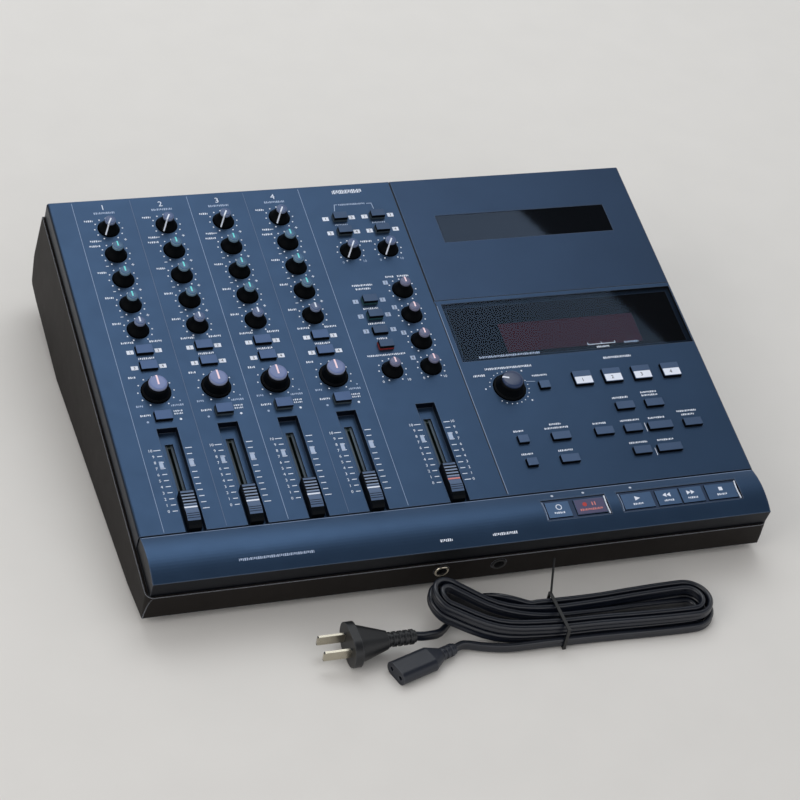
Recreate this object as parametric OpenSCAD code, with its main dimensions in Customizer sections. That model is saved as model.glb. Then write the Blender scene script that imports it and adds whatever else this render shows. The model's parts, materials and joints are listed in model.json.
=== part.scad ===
// Four track cassette recorder: a tilted mixer and tape deck panel on a low
// case, with its detached mains cord lying bundled in front of it.
//
// Row frame: X to the right, Y to the back, Z up, origin at the floor below
// the middle of the recorder. Most pieces are drawn in the panel's own frame:
// u runs right from the panel's left edge, v runs up the slope from the seam
// in front of the faders, and w is the height above the panel's face.

/* [Case] */
// Width of the control panel
panel_w = 401; // [396:1:410]
// Length of the panel up the slope, from the seam to the back edge
panel_l = 260.5; // [258:0.5:270]
// Tilt of the panel from the table
tilt = 11; // [8:0.5:13]
// Height of the seam above the case's flat bottom
seam_h = 42.2; // [40:0.5:48]
// Height of the rubber feet
foot_h = 3; // [2:0.5:6]
// How far the lower case stands out past the panel on each side
case_out = 1.4; // [0.8:0.2:3]
// Wall of the lower case
case_wall = 2.5; // [2:0.1:3]
// Drop from the panel's face to the parting line of the case
ridge_drop = 13; // [12:0.5:14]
// How far the case leans out from the parting line down to the back edge
back_lean_y = 15; // [10:1:18]
// Length of the raised rear part of the bottom
rear_rise_l = 83; // [70:1:95]
// Height of the case's back lower edge above its flat bottom
rear_rise_h = 24.2; // [20:0.5:28]
// Diameter of a rubber foot
foot_d = 16; // [12:1:20]

/* [Panel] */
// Thickness of the panel's plate
plate_t = 3; // [2.8:0.1:3.4]
// Left edge of the first channel strip
strip_left = 15.8; // [15:0.1:16.5]
// Width of one channel strip
strip_pitch = 38; // [37.5:0.1:38.4]
// Width and length of a fader's recess
fader_recess_w = 12.7; // [12:0.1:13.5]
fader_recess_l = 76; // [76:0.5:78]
// Depth of a fader's recess
fader_recess_d = 5; // [4.5:0.1:6]
// Travel of a fader
fader_travel = 44.5; // [40:0.5:44.5]
// Position across the panel of the master fader
master_fader_u = 201; // [199:0.5:203]
// Left edge of the cassette lid
lid_u = 232.4; // [231.5:0.1:233]
// Front edge of the cassette lid, up the slope
lid_v = 156.3; // [156:0.1:157]

/* [Knobs] */
// Base and top diameter of a small knob
knob_base_d = 13; // [12:0.1:14.4]
knob_top_d = 6.8; // [6:0.1:8]
// Height of a small knob above the panel
knob_h = 9.1; // [7:0.1:12]
// Height of the bright cap on a small knob
knob_cap_h = 1.8; // [1.2:0.1:3]
// Base and top diameter of a pan knob
pan_base_d = 17.6; // [16:0.1:19]
pan_top_d = 11.6; // [10:0.1:13]
// Base and top diameter of the pitch knob
pitch_base_d = 20.6; // [19:0.1:22.4]
pitch_top_d = 13.6; // [12:0.1:16]
// Height of the pan and pitch knobs above the panel
large_knob_h = 9; // [8:0.1:12]
// Height of the bright cap on a pan or pitch knob
large_cap_h = 1.4; // [0.8:0.1:2.5]
// Diameter of a knob's shaft
shaft_d = 6; // [5:0.1:6]
// Gap round a knob in its hole in the panel
knob_gap = 0.6; // [0.4:0.1:0.8]
// Radial clearance of a shaft or pin that turns in its bore
run_gap = 0.05; // [0.02:0.01:0.09]

/* [Faders] */
// Width, length and height above the panel of a fader's cap
fader_cap_w = 8; // [7:0.1:9]
fader_cap_l = 27; // [24:0.5:27.5]
fader_cap_h = 3; // [2:0.1:5]
// Distance from the seam to a fader's index line when it is pulled down
fader_zero_v = 15.7; // [15:0.1:16]

/* [Buttons] */
// Height of a pressed-in button above the panel
button_h = 2; // [1.5:0.1:3]
// How much higher a button stands when it is out
button_out = 1.5; // [1:0.1:1.8]
// Travel of a button
button_travel = 1.5; // [1:0.1:1.6]
// Gap round a button in its hole
button_gap = 0.3; // [0.2:0.05:0.4]

/* [Cassette deck] */
// Diameter and height of the lid's hinge pins
hinge_pin_d = 2.4; // [2:0.1:2.6]
// Distance between the two reel spindles
reel_pitch = 42.5; // [42:0.1:43]
// Middle of the cassette bay across the panel and up the slope
bay_u = 316.5; // [315:0.5:318]
bay_v = 214; // [213:0.5:215]

/* [Front fascia] */
// Length of the fascia from the seam to its front edge
fascia_l = 33.2; // [32:0.2:34]
// Rise of the fascia's crowned top
fascia_crown = 2.8; // [1.5:0.1:3.5]

/* [Mains cord] */
// Width of the flat cord
cord_w = 6.5; // [5.5:0.1:6.6]
// Thickness of the flat cord
cord_t = 3.3; // [2.8:0.1:3.4]

/* [Hidden] */
$fn = 48;
// Pieces that seat face to face share a plane; others keep this small seat gap.
seat_gap = 0.3;
CHANNELS = 4;
ROWS = ["gain", "high", "mid", "low", "aux"];
// Places behind the faders are distances from the fader recess. They spread
// with the panel's length, as those on the deck spread with its width.
strip_l = 184.5;
deck_w = 168.6;
deck_spread = (panel_w - lid_u) / deck_w;
function behind(d) = fader_recess_l + d * (panel_l - fader_recess_l) / strip_l;
function across(d) = lid_u + d * deck_spread;
row_v = [for (d = [160, 138.5, 117.7, 97.2, 76.6]) behind(d)];
pan_v = behind(28);
channel_u = [for (i = [0:CHANNELS - 1]) strip_left + (i + 0.5) * strip_pitch];
fader_u = concat(channel_u, [master_fader_u]);
aux_return_at = [for (u = [188.5, 214.5]) [u, behind(127)]];
cue_at = [for (d = [91.6, 70.7, 49, 28]) [214, behind(d)]];
monitor_at = [188, pan_v];
pitch_at = [across(28), 81.7];

// A button is [u, v, width, length], and 1 as a fifth value where it is out.
source_d = 9;
channel_keys = [for (i = [0:CHANNELS - 1]) for (k = [[60.2, 6.4], [47.8, 6.4], [source_d, 6.6]])
    [channel_u[i], behind(k[0]), 10.4, k[1], i > 0 && k[0] == source_d ? 1 : 0]];
monitor_pressed_d = 59.8;
master_keys = concat(
    [for (u = [189, 215]) for (d = [155.6, 143.4]) [u, behind(d), 9.2, 5.2, 1]],
    [for (d = [84.6, 72.1, monitor_pressed_d, 47.4]) [189, behind(d), 9.4, 5.6, d == monitor_pressed_d ? 0 : 1]]);
// Deck buttons are [distance from the lid's left side, v, width, length].
flange_out = 0.5;
function deck_key(k) = [across(k[0]), k[1], (k[2] + 2 * flange_out) * deck_spread - 2 * flange_out, k[3]];
deck_keys = [for (k = concat(
    [[51.6, 80.6, 6.9, 5.6]],
    [for (i = [0:CHANNELS - 1]) [79 + i * 20.85, 83, 12.4, 10.5]],
    [for (v = [40.3, 22.5]) [23.4, v, 6.8, 5.6]],
    [for (v = [40, 22.3]) [49.1, v, 12.2, 5.6]],
    [[100, 58.3, 12.2, 5.6], [120.6, 58.3, 12.2, 5.6]],
    [[79, 40.3, 12.2, 5.6], [99.2, 40.3, 11.8, 5.6], [118.2, 40.3, 16.4, 5.6], [141.2, 40.3, 12.2, 5.6]],
    [[99.2, 22.7, 11.8, 5.6], [118.2, 22.7, 16.4, 5.6]])) deck_key(k)];
transport_keys = [for (k = [[28, 15.6], [49.4, 20.2], [81.6, 20.6], [102.5, 15.4], [119.1, 15.2], [139.5, 20.4]])
    deck_key([k[0], -15, k[1], 11.2])];

seam_z = foot_h + seam_h;
back_v = panel_l + 0.7;
front_lean_y = 3.6;
front_rise_h = 3.4;
front_ridge_v = -fascia_l - 1;
case_w = panel_w + 2 * case_out;
// Front and back of the recorder, measured along Y from the seam.
front_from_seam = -fascia_l * cos(tilt);
back_from_seam = back_v * cos(tilt) + ridge_drop * sin(tilt) + back_lean_y;
seam_y = -(front_from_seam + back_from_seam) / 2;
back_y = seam_y + back_from_seam;

// Y and Z of a point of the panel's frame.
function panel_yz(v, w) = [seam_y + v * cos(tilt) - w * sin(tilt), seam_z + v * sin(tilt) + w * cos(tilt)];
function unit(p) = p / norm(p);
// A convex outline drawn in by d; its points run anticlockwise.
function inset(p, d) = let (n = len(p)) [for (i = [0:n - 1])
    let (a = unit(p[i] - p[(i + n - 1) % n]), b = unit(p[(i + 1) % n] - p[i]))
    let (na = [-a.y, a.x], nb = [-b.y, b.x])
    p[i] + d * (na + nb) / (1 + na * nb)];
function arc(c, r, a0, a1, n) = [for (i = [0:n]) c + r * [cos(a0 + (a1 - a0) * i / n), sin(a0 + (a1 - a0) * i / n)]];

ridge_front = panel_yz(front_ridge_v, -ridge_drop);
ridge_back = panel_yz(back_v, -ridge_drop);
front_low = [ridge_front.x + front_lean_y, foot_h + front_rise_h];
toe = [seam_y + 5, foot_h];
back_low = [back_y, foot_h + rear_rise_h];
heel = [back_y - rear_rise_l, foot_h];
case_outline = [
    ridge_front, front_low, toe, heel,
    back_low + [-18, -10.8], back_low + [-6, -7], back_low, ridge_back
];
front_lean = atan2(front_lean_y, ridge_front.y - front_low.y);
back_lean = atan2(back_low.x - ridge_back.x, ridge_back.y - back_low.y);
case_corner_r = 5;

// Panel frame, and the frames of the case's front and back walls: there z
// runs up the wall from the parting line, and y points into the back.
module on_panel() {
    translate([-panel_w / 2, seam_y, seam_z])
        rotate([tilt, 0, 0])
            children();
}
module on_front() {
    translate([0, ridge_front.x, ridge_front.y])
        rotate([front_lean, 0, 0])
            children();
}
module on_back() {
    translate([0, ridge_back.x, ridge_back.y])
        rotate([back_lean, 0, 0])
            children();
}
// A box between two corners.
module slab(a, b) {
    translate(a)
        cube(b - a);
}
// A drawing of u and w, run along v; and one of v and w, run along u.
module along_v(v0, v1) {
    translate([0, v1, 0])
        rotate([90, 0, 0])
            linear_extrude(v1 - v0)
                children();
}
module along_u(u0, u1) {
    translate([u0, 0, 0])
        rotate([90, 0, 90])
            linear_extrude(u1 - u0)
                children();
}
// A round hole or post straight through the panel's frame at [u, v].
module post(at, r, w0, w1) {
    translate([at[0], at[1], w0])
        cylinder(r = r, h = w1 - w0);
}

// ---------------------------------------------------------------- lower case
hull_clear = 0.2;
case_floor_z = foot_h + case_wall;
front_jack_x = [182.7 - panel_w / 2, 220.3 - panel_w / 2];
front_jack_z = -7.3;
jack_ring_r = 4.6;
jack_bore_r = 3.3;
jack_l = 14;
rear_jack_x = [-140, -115, -90, -65];
rear_rca_x = [-35, -20, -5, 10];
inlet_x = 95;
rear_z = -26;
rear_window = [290, 26];
rear_window_x = -20;
module wall_holes() {
    on_front()
        for (x = front_jack_x)
            translate([x, -5, front_jack_z])
                rotate([-90, 0, 0])
                    cylinder(r = jack_ring_r + 0.2, h = case_wall + 10);
    on_back()
        translate([rear_window_x - rear_window[0] / 2, -case_wall - 5, rear_z - rear_window[1] / 2])
            cube([rear_window[0], case_wall + 10, rear_window[1]]);
}
module rounded_plan() {
    x = case_w / 2 - case_corner_r;
    y0 = ridge_front.x + case_corner_r;
    y1 = back_y - case_corner_r;
    linear_extrude(200) {
        translate([-x, ridge_front.x])
            square([2 * x, back_y - ridge_front.x]);
        translate([-case_w / 2, y0])
            square([case_w, y1 - y0]);
        for (px = [-x, x])
            for (py = [y0, y1])
                translate([px, py])
                    circle(r = case_corner_r);
    }
}
module lower_case() {
    inner = inset(case_outline, case_wall);
    up = [-sin(tilt), cos(tilt)] * 3 * case_wall;
    n = len(inner);
    cavity = concat([inner[0] + up], [for (i = [0:n - 1]) inner[i]], [inner[n - 1] + up]);
    color([0.10, 0.09, 0.085])
        difference() {
            intersection() {
                translate([-case_w / 2, 0, 0])
                    rotate([90, 0, 90])
                        linear_extrude(case_w)
                            polygon(case_outline);
                rounded_plan();
            }
            translate([-case_w / 2 + case_wall, 0, 0])
                rotate([90, 0, 90])
                    linear_extrude(case_w - 2 * case_wall)
                        polygon(cavity);
            wall_holes();
        }
}
// ---------------------------------------------------------------- feet
foot_x = panel_w / 2 - 28.5;
foot_y = [toe.x + 14, heel.x - 14];
module feet() {
    color([0.05, 0.05, 0.05])
        for (x = [-foot_x, foot_x])
            for (y = foot_y)
                translate([x, y, 0])
                    cylinder(d = foot_d, h = foot_h);
}
// ---------------------------------------------------------------- top panel
edge_r = 1.6;
skirt_t = 2.5;
groove_h = 1.2;
groove_d = 0.7;
panel_front_v = 0.4;
lid_gap = 0.4;
lid_skirt_w = -9.7;
tray_w = lid_skirt_w - seat_gap;
tray_t = 2;
window_u = [lid_u + 3.6, panel_w - 1.8];
window_v = [lid_v - 51.3, lid_v - 3.4];
window_t = 2;
window_ledge = 3;
fader_slot_w = 5;
trough_wall = 1.2;
well = [[lid_u + 29.6, lid_v + 9.7], [panel_w - 30, panel_l - 11.5]];
hinge_at = [panel_l - 4, -5];
ear_r = 2.5;
ear_t = 3;
ear_u = [lid_u + 5.2, panel_w - 8];
// Cross-section of the top shell: rounded upper edges and two side skirts.
function shell_outline() = concat(
    [[0, -ridge_drop + groove_h]],
    arc([edge_r, -edge_r], edge_r, 180, 90, 5),
    arc([panel_w - edge_r, -edge_r], edge_r, 90, 0, 5),
    [[panel_w, -ridge_drop + groove_h], [panel_w - groove_d, -ridge_drop + groove_h],
     [panel_w - groove_d, -ridge_drop], [panel_w - skirt_t, -ridge_drop], [panel_w - skirt_t, -plate_t],
     [skirt_t, -plate_t], [skirt_t, -ridge_drop], [groove_d, -ridge_drop],
     [groove_d, -ridge_drop + groove_h]]);
module key_holes(keys, w0, w1) {
    for (k = keys)
        slab([k[0] - k[2] / 2 - button_gap, k[1] - k[3] / 2 - button_gap, w0],
             [k[0] + k[2] / 2 + button_gap, k[1] + k[3] / 2 + button_gap, w1]);
}
module panel_holes() {
    for (u = channel_u) {
        for (v = row_v)
            post([u, v], knob_base_d / 2 + knob_gap, -plate_t - 1, 1);
        post([u, pan_v], pan_base_d / 2 + knob_gap, -plate_t - 1, 1);
    }
    for (at = concat(aux_return_at, cue_at, [monitor_at]))
        post(at, knob_base_d / 2 + knob_gap, -plate_t - 1, 1);
    post(pitch_at, pitch_base_d / 2 + knob_gap, -plate_t - 1, 1);
    key_holes(concat(channel_keys, master_keys, deck_keys), -plate_t - 1, 1);
    for (u = fader_u)
        slab([u - fader_recess_w / 2, -1, -plate_t - 1], [u + fader_recess_w / 2, fader_recess_l, 1]);
    slab([window_u[0], window_v[0], -window_t], [window_u[1], window_v[1], 1]);
    slab([window_u[0] + window_ledge, window_v[0] + window_ledge, -plate_t - 1],
         [window_u[1] - window_ledge, window_v[1] - window_ledge, 1]);
}
module fader_trough(u) {
    half = fader_recess_w / 2;
    difference() {
        slab([u - half - trough_wall, panel_front_v, -fader_recess_d - trough_wall],
             [u + half + trough_wall, fader_recess_l + trough_wall, -plate_t]);
        slab([u - half, panel_front_v - 1, -fader_recess_d],
             [u + half, fader_recess_l, 0]);
        slab([u - fader_slot_w / 2, fader_zero_v - 9, -fader_recess_d - 2 * trough_wall],
             [u + fader_slot_w / 2, fader_zero_v + fader_travel + 7, 0]);
    }
}
module lid_tray() {
    slab([lid_u - 2.4, lid_v - lid_gap - 2, tray_w - tray_t], [lid_u - lid_gap, panel_l - skirt_t, -plate_t]);
    slab([lid_u - lid_gap, lid_v - lid_gap - 2, tray_w - tray_t], [panel_w - skirt_t, lid_v - lid_gap, -plate_t]);
    difference() {
        slab([lid_u - lid_gap, lid_v - lid_gap, tray_w - tray_t], [panel_w - skirt_t, panel_l - skirt_t, tray_w]);
        slab([well[0].x, well[0].y, tray_w - tray_t - 1], [well[1].x, well[1].y, tray_w + 1]);
    }
}
module hinge_ear(u) {
    difference() {
        union() {
            slab([u, hinge_at[0] - ear_r, tray_w], [u + ear_t, panel_l - skirt_t, hinge_at[1]]);
            translate([u, hinge_at[0], hinge_at[1]])
                rotate([0, 90, 0])
                    cylinder(r = ear_r, h = ear_t);
        }
        translate([u - 1, hinge_at[0], hinge_at[1]])
            rotate([0, 90, 0])
                cylinder(r = hinge_pin_d / 2 + run_gap, h = ear_t + 2);
    }
}
module top_panel() {
    color([0.20, 0.28, 0.40])
        on_panel() {
            difference() {
                union() {
                    along_v(panel_front_v, panel_l)
                        polygon(shell_outline());
                    slab([skirt_t, panel_l - skirt_t, -ridge_drop + groove_h], [panel_w - skirt_t, panel_l, -plate_t]);
                    slab([skirt_t, panel_l - skirt_t, -ridge_drop], [panel_w - skirt_t, panel_l - groove_d, -plate_t]);
                }
                panel_holes();
                slab([lid_u - lid_gap, lid_v - lid_gap, tray_w], [panel_w + 1, panel_l + 1, 1]);
            }
            for (u = fader_u)
                fader_trough(u);
            lid_tray();
            for (u = ear_u)
                hinge_ear(u);
        }
}
// ---------------------------------------------------------------- fascia
fascia_end = 0.7;
fascia_t = 2.5;
crown_steps = 16;
pocket_w = -0.8;
pocket_t = 1.5;
pocket_v = [-22.6, -7.4];
pocket_u = [[across(18.2), across(61.2)], [across(69.2), across(151.6)]];
function crown(t, rise) = -0.5 + (rise + 0.5) * (1 - pow(2 * t - 1, 2));
function fascia_outer() = concat(
    [for (i = [0:crown_steps]) [-fascia_l * i / crown_steps, crown(i / crown_steps, fascia_crown)]],
    [[-fascia_l + 0.3, -ridge_drop]]);
function fascia_inner() = concat(
    [for (i = [0:crown_steps])
        [-fascia_t - (fascia_l - 2 * fascia_t) * i / crown_steps,
         crown(i / crown_steps, fascia_crown) - fascia_t]],
    [[-fascia_l + fascia_t + 0.3, -ridge_drop - 1], [-fascia_t, -ridge_drop - 1]]);
module front_fascia() {
    color([0.22, 0.31, 0.45])
        on_panel()
            difference() {
                union() {
                    difference() {
                        along_u(fascia_end, panel_w - fascia_end)
                            polygon(concat(fascia_outer(), [[0, -ridge_drop]]));
                        along_u(fascia_end + fascia_t, panel_w - fascia_end - fascia_t)
                            polygon(fascia_inner());
                    }
                    for (p = pocket_u)
                        slab([p[0] - 1, pocket_v[0] - 1, pocket_w - pocket_t],
                             [p[1] + 1, pocket_v[1] + 1, crown(0.25, fascia_crown) - 0.3]);
                }
                for (p = pocket_u)
                    slab([p[0], pocket_v[0], pocket_w], [p[1], pocket_v[1], 6]);
                key_holes(transport_keys, -5, 5);
            }
}
// ---------------------------------------------------------------- window
module display_window() {
    color([0.10, 0.11, 0.14, 0.85])
        on_panel()
            slab([window_u[0] + hull_clear, window_v[0] + hull_clear, -window_t],
                 [window_u[1] - hull_clear, window_v[1] - hull_clear, -0.1]);
}
// ---------------------------------------------------------------- lid
lid_t = 2;
lid_window_u = [lid_u + 22.8, panel_w - 23.4];
lid_window_v = [panel_l - 55.9, panel_l - 32.4];
lid_skirt_t = 1.8;
lid_rear_v = panel_l;
function lid_outline() = concat(
    [[lid_u, -lid_t]], [[lid_u, -0.4], [lid_u + 0.4, 0]],
    arc([panel_w - edge_r, -edge_r], edge_r, 90, 0, 5), [[panel_w, -lid_t]]);
module cassette_lid() {
    color([0.21, 0.29, 0.42])
        on_panel() {
            difference() {
                union() {
                    along_v(lid_v, lid_rear_v)
                        polygon(lid_outline());
                    slab([lid_u, lid_v, lid_skirt_w], [panel_w, lid_v + lid_skirt_t, -lid_t]);
                    slab([lid_u, lid_v, lid_skirt_w], [lid_u + lid_skirt_t, hinge_at[0] - 2.5, -lid_t]);
                    slab([panel_w - lid_skirt_t, lid_v, lid_skirt_w], [panel_w, hinge_at[0] - 2.5, -lid_t]);
                }
                slab([lid_window_u[0], lid_window_v[0], -lid_t - 1], [lid_window_u[1], lid_window_v[1], 1]);
            }
            for (i = [0:1])
                knuckle(i);
        }
}
// A hinge knuckle beside each ear of the tray, with a pin through the ear.
module knuckle(side) {
    inward = side == 0 ? 1 : -1;
    face = side == 0 ? ear_u[0] + ear_t + 0.3 : ear_u[1] - 0.3;
    u0 = min(face, face + inward * ear_t);
    pin_u = side == 0 ? ear_u[0] : face - 0.5;
    pin_l = ear_t + 0.8;
    slab([u0, hinge_at[0] - ear_r, hinge_at[1]], [u0 + ear_t, hinge_at[0] + 1, -lid_t]);
    translate([u0, hinge_at[0], hinge_at[1]])
        rotate([0, 90, 0])
            cylinder(r = ear_r, h = ear_t);
    translate([pin_u, hinge_at[0], hinge_at[1]])
        rotate([0, 90, 0])
            cylinder(d = hinge_pin_d, h = pin_l);
}
module lid_window() {
    lip = 3;
    color([0.07, 0.07, 0.09, 0.85])
        on_panel() {
            slab([lid_window_u[0] + hull_clear, lid_window_v[0] + hull_clear, -lid_t],
                 [lid_window_u[1] - hull_clear, lid_window_v[1] - hull_clear, -0.2]);
            slab([lid_window_u[0] - lip, lid_window_v[0] - lip, -lid_t - 1.2],
                 [lid_window_u[1] + lip, lid_window_v[1] + lip, -lid_t]);
        }
}
// ---------------------------------------------------------------- knobs
pointer_w = 0.9;
pointer_d = 0.5;
skirt_w = -1.2;
bush_r = 4.4;
board_w = -14;
board_t = 1.6;
pot_h = 6.5;
bush_w = -plate_t - seat_gap;
shaft_end_w = board_w + 2;
// Radius and height of a knob's side from its foot to the rim of its cap. r and
// t are the radii of foot and cap, n is the height where the cap starts.
function slim_side(r, t, n, h) =
    [[r, 0.9], [r - 0.45, 0.25 * n], [r - 1.05, 0.39 * n], [t + 1.1, 0.62 * n], [t + 0.35, 0.88 * n], [t, n],
     [t, h - 0.5], [t - 0.4, h]];
function stout_side(r, t, n, h) =
    [[r, 0.9], [r - 0.9, 1.2], [t + 1.5, 0.58 * n], [t + 0.9, 0.88 * n], [t + 0.3, 0.98 * n], [t, n],
     [t, h - 0.5], [t - 0.4, h]];
// A turned knob on its shaft; angle turns its pointer clockwise from the top.
module knob(at, side, top_d, h, angle) {
    color([0.05, 0.05, 0.055])
        on_panel()
            translate([at[0], at[1], 0])
                rotate([0, 0, -angle])
                    difference() {
                        union() {
                            rotate_extrude()
                                polygon(concat([[0, skirt_w], [side[0].x, skirt_w]], side, [[0, h]]));
                            translate([0, 0, shaft_end_w])
                                cylinder(d = shaft_d, h = skirt_w - shaft_end_w);
                        }
                        slab([-pointer_w / 2, 0, h - pointer_d], [pointer_w / 2, top_d, h + 1]);
                    }
}
// Where each small knob's pointer stands, clockwise from straight up the slope.
gain_angle = -150;
pitch_angle = -70;
module small_knob(at, angle) {
    knob(at, slim_side(knob_base_d / 2, knob_top_d / 2, knob_h - knob_cap_h, knob_h), knob_top_d, knob_h, angle);
}
module large_knob(at, base_d, top_d, angle) {
    knob(at, stout_side(base_d / 2, top_d / 2, large_knob_h - large_cap_h, large_knob_h), top_d, large_knob_h, angle);
}
module channel_knob(row, i) {
    small_knob([channel_u[i], row_v[row]], row == 0 ? gain_angle : 0);
}
module pan_knob(at) {
    large_knob(at, pan_base_d, pan_top_d, 0);
}
module pitch_knob() {
    large_knob(pitch_at, pitch_base_d, pitch_top_d, pitch_angle);
}
// ---------------------------------------------------------------- faders
lever_t = 1.6;
lever_l = 5;
lever_end_w = -10.5;
groove_step = 2.2;
cap_bottom_w = -fader_recess_d + seat_gap;
module fader(i) {
    half = fader_cap_l / 2;
    color([0.16, 0.19, 0.24])
        on_panel()
            translate([fader_u[i], fader_zero_v, 0]) {
                difference() {
                    along_u(-fader_cap_w / 2, fader_cap_w / 2)
                        polygon([[-half, cap_bottom_w], [half, cap_bottom_w], [half, 0.6], [half - 2, fader_cap_h],
                                 [3.4, fader_cap_h], [0, fader_cap_h - 0.7], [-3.4, fader_cap_h],
                                 [-6.5, fader_cap_h - 0.2], [-half + 1.5, fader_cap_h - 1.6], [-half, 0.2]]);
                    for (k = [0:3])
                        slab([-fader_cap_w, half - 3.4 - (k + 0.5) * groove_step, fader_cap_h - 0.7],
                             [fader_cap_w, half - 3.4 - k * groove_step, fader_cap_h + 1]);
                }
                slab([-lever_t / 2, -lever_l / 2, lever_end_w], [lever_t / 2, lever_l / 2, cap_bottom_w]);
            }
}
// ---------------------------------------------------------------- buttons
flange_t = 1;
stem_r = 1.4;
switch_h = 3;
switch_half = 3;
// Raised caps with a retaining flange and a stem over their switch.
module keys(list, top_w, under_w, stem_w) {
    for (k = list)
        translate([k[0], k[1], 0]) {
            slab([-k[2] / 2, -k[3] / 2, under_w - seat_gap - flange_t],
                 [k[2] / 2, k[3] / 2, top_w + (k[4] == 1 ? button_out : 0)]);
            slab([-k[2] / 2 - flange_out, -k[3] / 2 - flange_out, under_w - seat_gap - flange_t],
                 [k[2] / 2 + flange_out, k[3] / 2 + flange_out, under_w - seat_gap]);
            translate([0, 0, stem_w])
                cylinder(r = stem_r, h = under_w - seat_gap - stem_w);
        }
}
key_stem_w = board_w + switch_h + button_travel + 0.3;
module channel_buttons() {
    color([0.28, 0.35, 0.45])
        on_panel()
            keys(channel_keys, button_h, -plate_t, key_stem_w);
}
module master_buttons() {
    color([0.28, 0.35, 0.45])
        on_panel()
            keys(master_keys, button_h, -plate_t, key_stem_w);
}
module deck_buttons() {
    color([0.28, 0.35, 0.45])
        on_panel()
            keys(deck_keys, button_h, -plate_t, key_stem_w);
}
transport_top_w = 1.8;
transport_flange_w = pocket_w - pocket_t;
module transport_buttons() {
    color([0.25, 0.32, 0.43])
        on_panel()
            keys(transport_keys, transport_top_w, transport_flange_w, key_stem_w);
}
// ---------------------------------------------------------------- boards
module pot(at) {
    body = 4.9;
    difference() {
        union() {
            slab([at[0] - body, at[1] - body, board_w], [at[0] + body, at[1] + body, board_w + pot_h]);
            post(at, bush_r, board_w + pot_h, bush_w);
        }
        post(at, shaft_d / 2 + run_gap, shaft_end_w - 0.4, 1);
    }
}
module switches(list, w0) {
    for (k = list)
        slab([k[0] - switch_half, k[1] - 2.6, w0], [k[0] + switch_half, k[1] + 2.6, w0 + switch_h]);
}
track_half_w = 4.5;
track_top_w = -fader_recess_d - trough_wall - seat_gap;
module fader_track(u) {
    v0 = fader_zero_v - 10;
    v1 = fader_zero_v + fader_travel + 9;
    difference() {
        slab([u - track_half_w, v0, board_w], [u + track_half_w, v1, track_top_w]);
        slab([u - lever_t / 2 - 0.3, v0 + 4, lever_end_w - 0.5], [u + lever_t / 2 + 0.3, v1 - 4, 0]);
    }
}
module standoff(at) {
    post(at, 3, board_w, -plate_t);
}
display_at = [[across(29.6), lid_v - 43.3], [across(139.6), lid_v - 11.3]];
module circuit_boards() {
    color([0.12, 0.30, 0.20])
        on_panel() {
            slab([10, 4, board_w - board_t], [lid_u - 6.4, panel_l - 14.5, board_w]);
            slab([lid_u + 10.6, 6, board_w - board_t], [panel_w - 11, lid_v - 7.3, board_w]);
            slab([across(17.6), -27, board_w - board_t], [across(153.6), -5, board_w]);
            for (u = channel_u) {
                for (v = row_v)
                    pot([u, v]);
                pot([u, pan_v]);
            }
            for (at = concat(aux_return_at, cue_at, [monitor_at, pitch_at]))
                pot(at);
            for (u = fader_u)
                fader_track(u);
            switches(concat(channel_keys, master_keys, deck_keys, transport_keys), board_w);
            slab([display_at[0].x, display_at[0].y, board_w], [display_at[1].x, display_at[1].y, -4]);
            for (at = concat(
                [for (d = [19, 149]) [15, behind(d)]], [for (d = [39, 149]) [172, behind(d)]],
                [[222, behind(164)], [223, 40]],
                [for (v = [12, 60]) each [[lid_u + 14, v], [panel_w - 14, v]]]))
                standoff(at);
            for (u = [across(21.6), across(65.2), across(149.6)])
                for (v = [-26, -6])
                    slab([u - 1.5, v - 1, board_w], [u + 1.5, v + 1, transport_flange_w]);
        }
}
// ---------------------------------------------------------------- tape deck
chassis_w = -24;
chassis_t = 1.6;
reel_shaft_r = 2;
reel_table_r = 10.5;
reel_hub_r = 4;
reel_top_w = -12.4;
reel_bush_l = 6;
reel_at = [[bay_u - reel_pitch / 2, bay_v], [bay_u + reel_pitch / 2, bay_v]];
capstan_at = [bay_u + 0.39 * (panel_w - bay_u), bay_v - 30];
capstan_r = 1.25;
flywheel_r = 21;
flywheel_w = [-38, -32];
motor_at = [lid_u + 37.6, capstan_at[1]];
motor_r = 14;
pulley_r = 5;
belt_t = 1;
mount_at = [for (u = [lid_u + 23.6, panel_w - 22]) for (v = [lid_v + 11.7, panel_l - 16.5]) [u, v]];
module reel(at) {
    color([0.75, 0.75, 0.72])
        on_panel() {
            post(at, reel_shaft_r, chassis_w - reel_bush_l + 0.2, chassis_w + 1);
            post(at, reel_table_r, chassis_w + seat_gap, chassis_w + 2.3);
            post(at, reel_hub_r, chassis_w + 2.3, reel_top_w - 1);
            post(at, reel_hub_r - 1, reel_top_w - 1, reel_top_w);
            for (a = [0:60:300])
                translate([at[0], at[1], 0])
                    rotate([0, 0, a])
                        slab([0, -0.5, chassis_w + 2.3], [reel_hub_r + 1, 0.5, reel_top_w - 2]);
        }
}
module capstan_flywheel() {
    color([0.70, 0.66, 0.52])
        on_panel() {
            post(capstan_at, capstan_r, flywheel_w[0], -13);
            difference() {
                post(capstan_at, flywheel_r, flywheel_w[0], flywheel_w[1]);
                for (a = [0:60:300])
                    translate([capstan_at[0], capstan_at[1], 0])
                        rotate([0, 0, a])
                            post([14, 0], 3.5, flywheel_w[0] - 1, flywheel_w[1] + 1);
            }
        }
}
module belt_loop(r, w0, w1) {
    hull() {
        post(capstan_at, flywheel_r + r, w0, w1);
        post(motor_at, pulley_r + r, w0, w1);
    }
}
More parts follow.
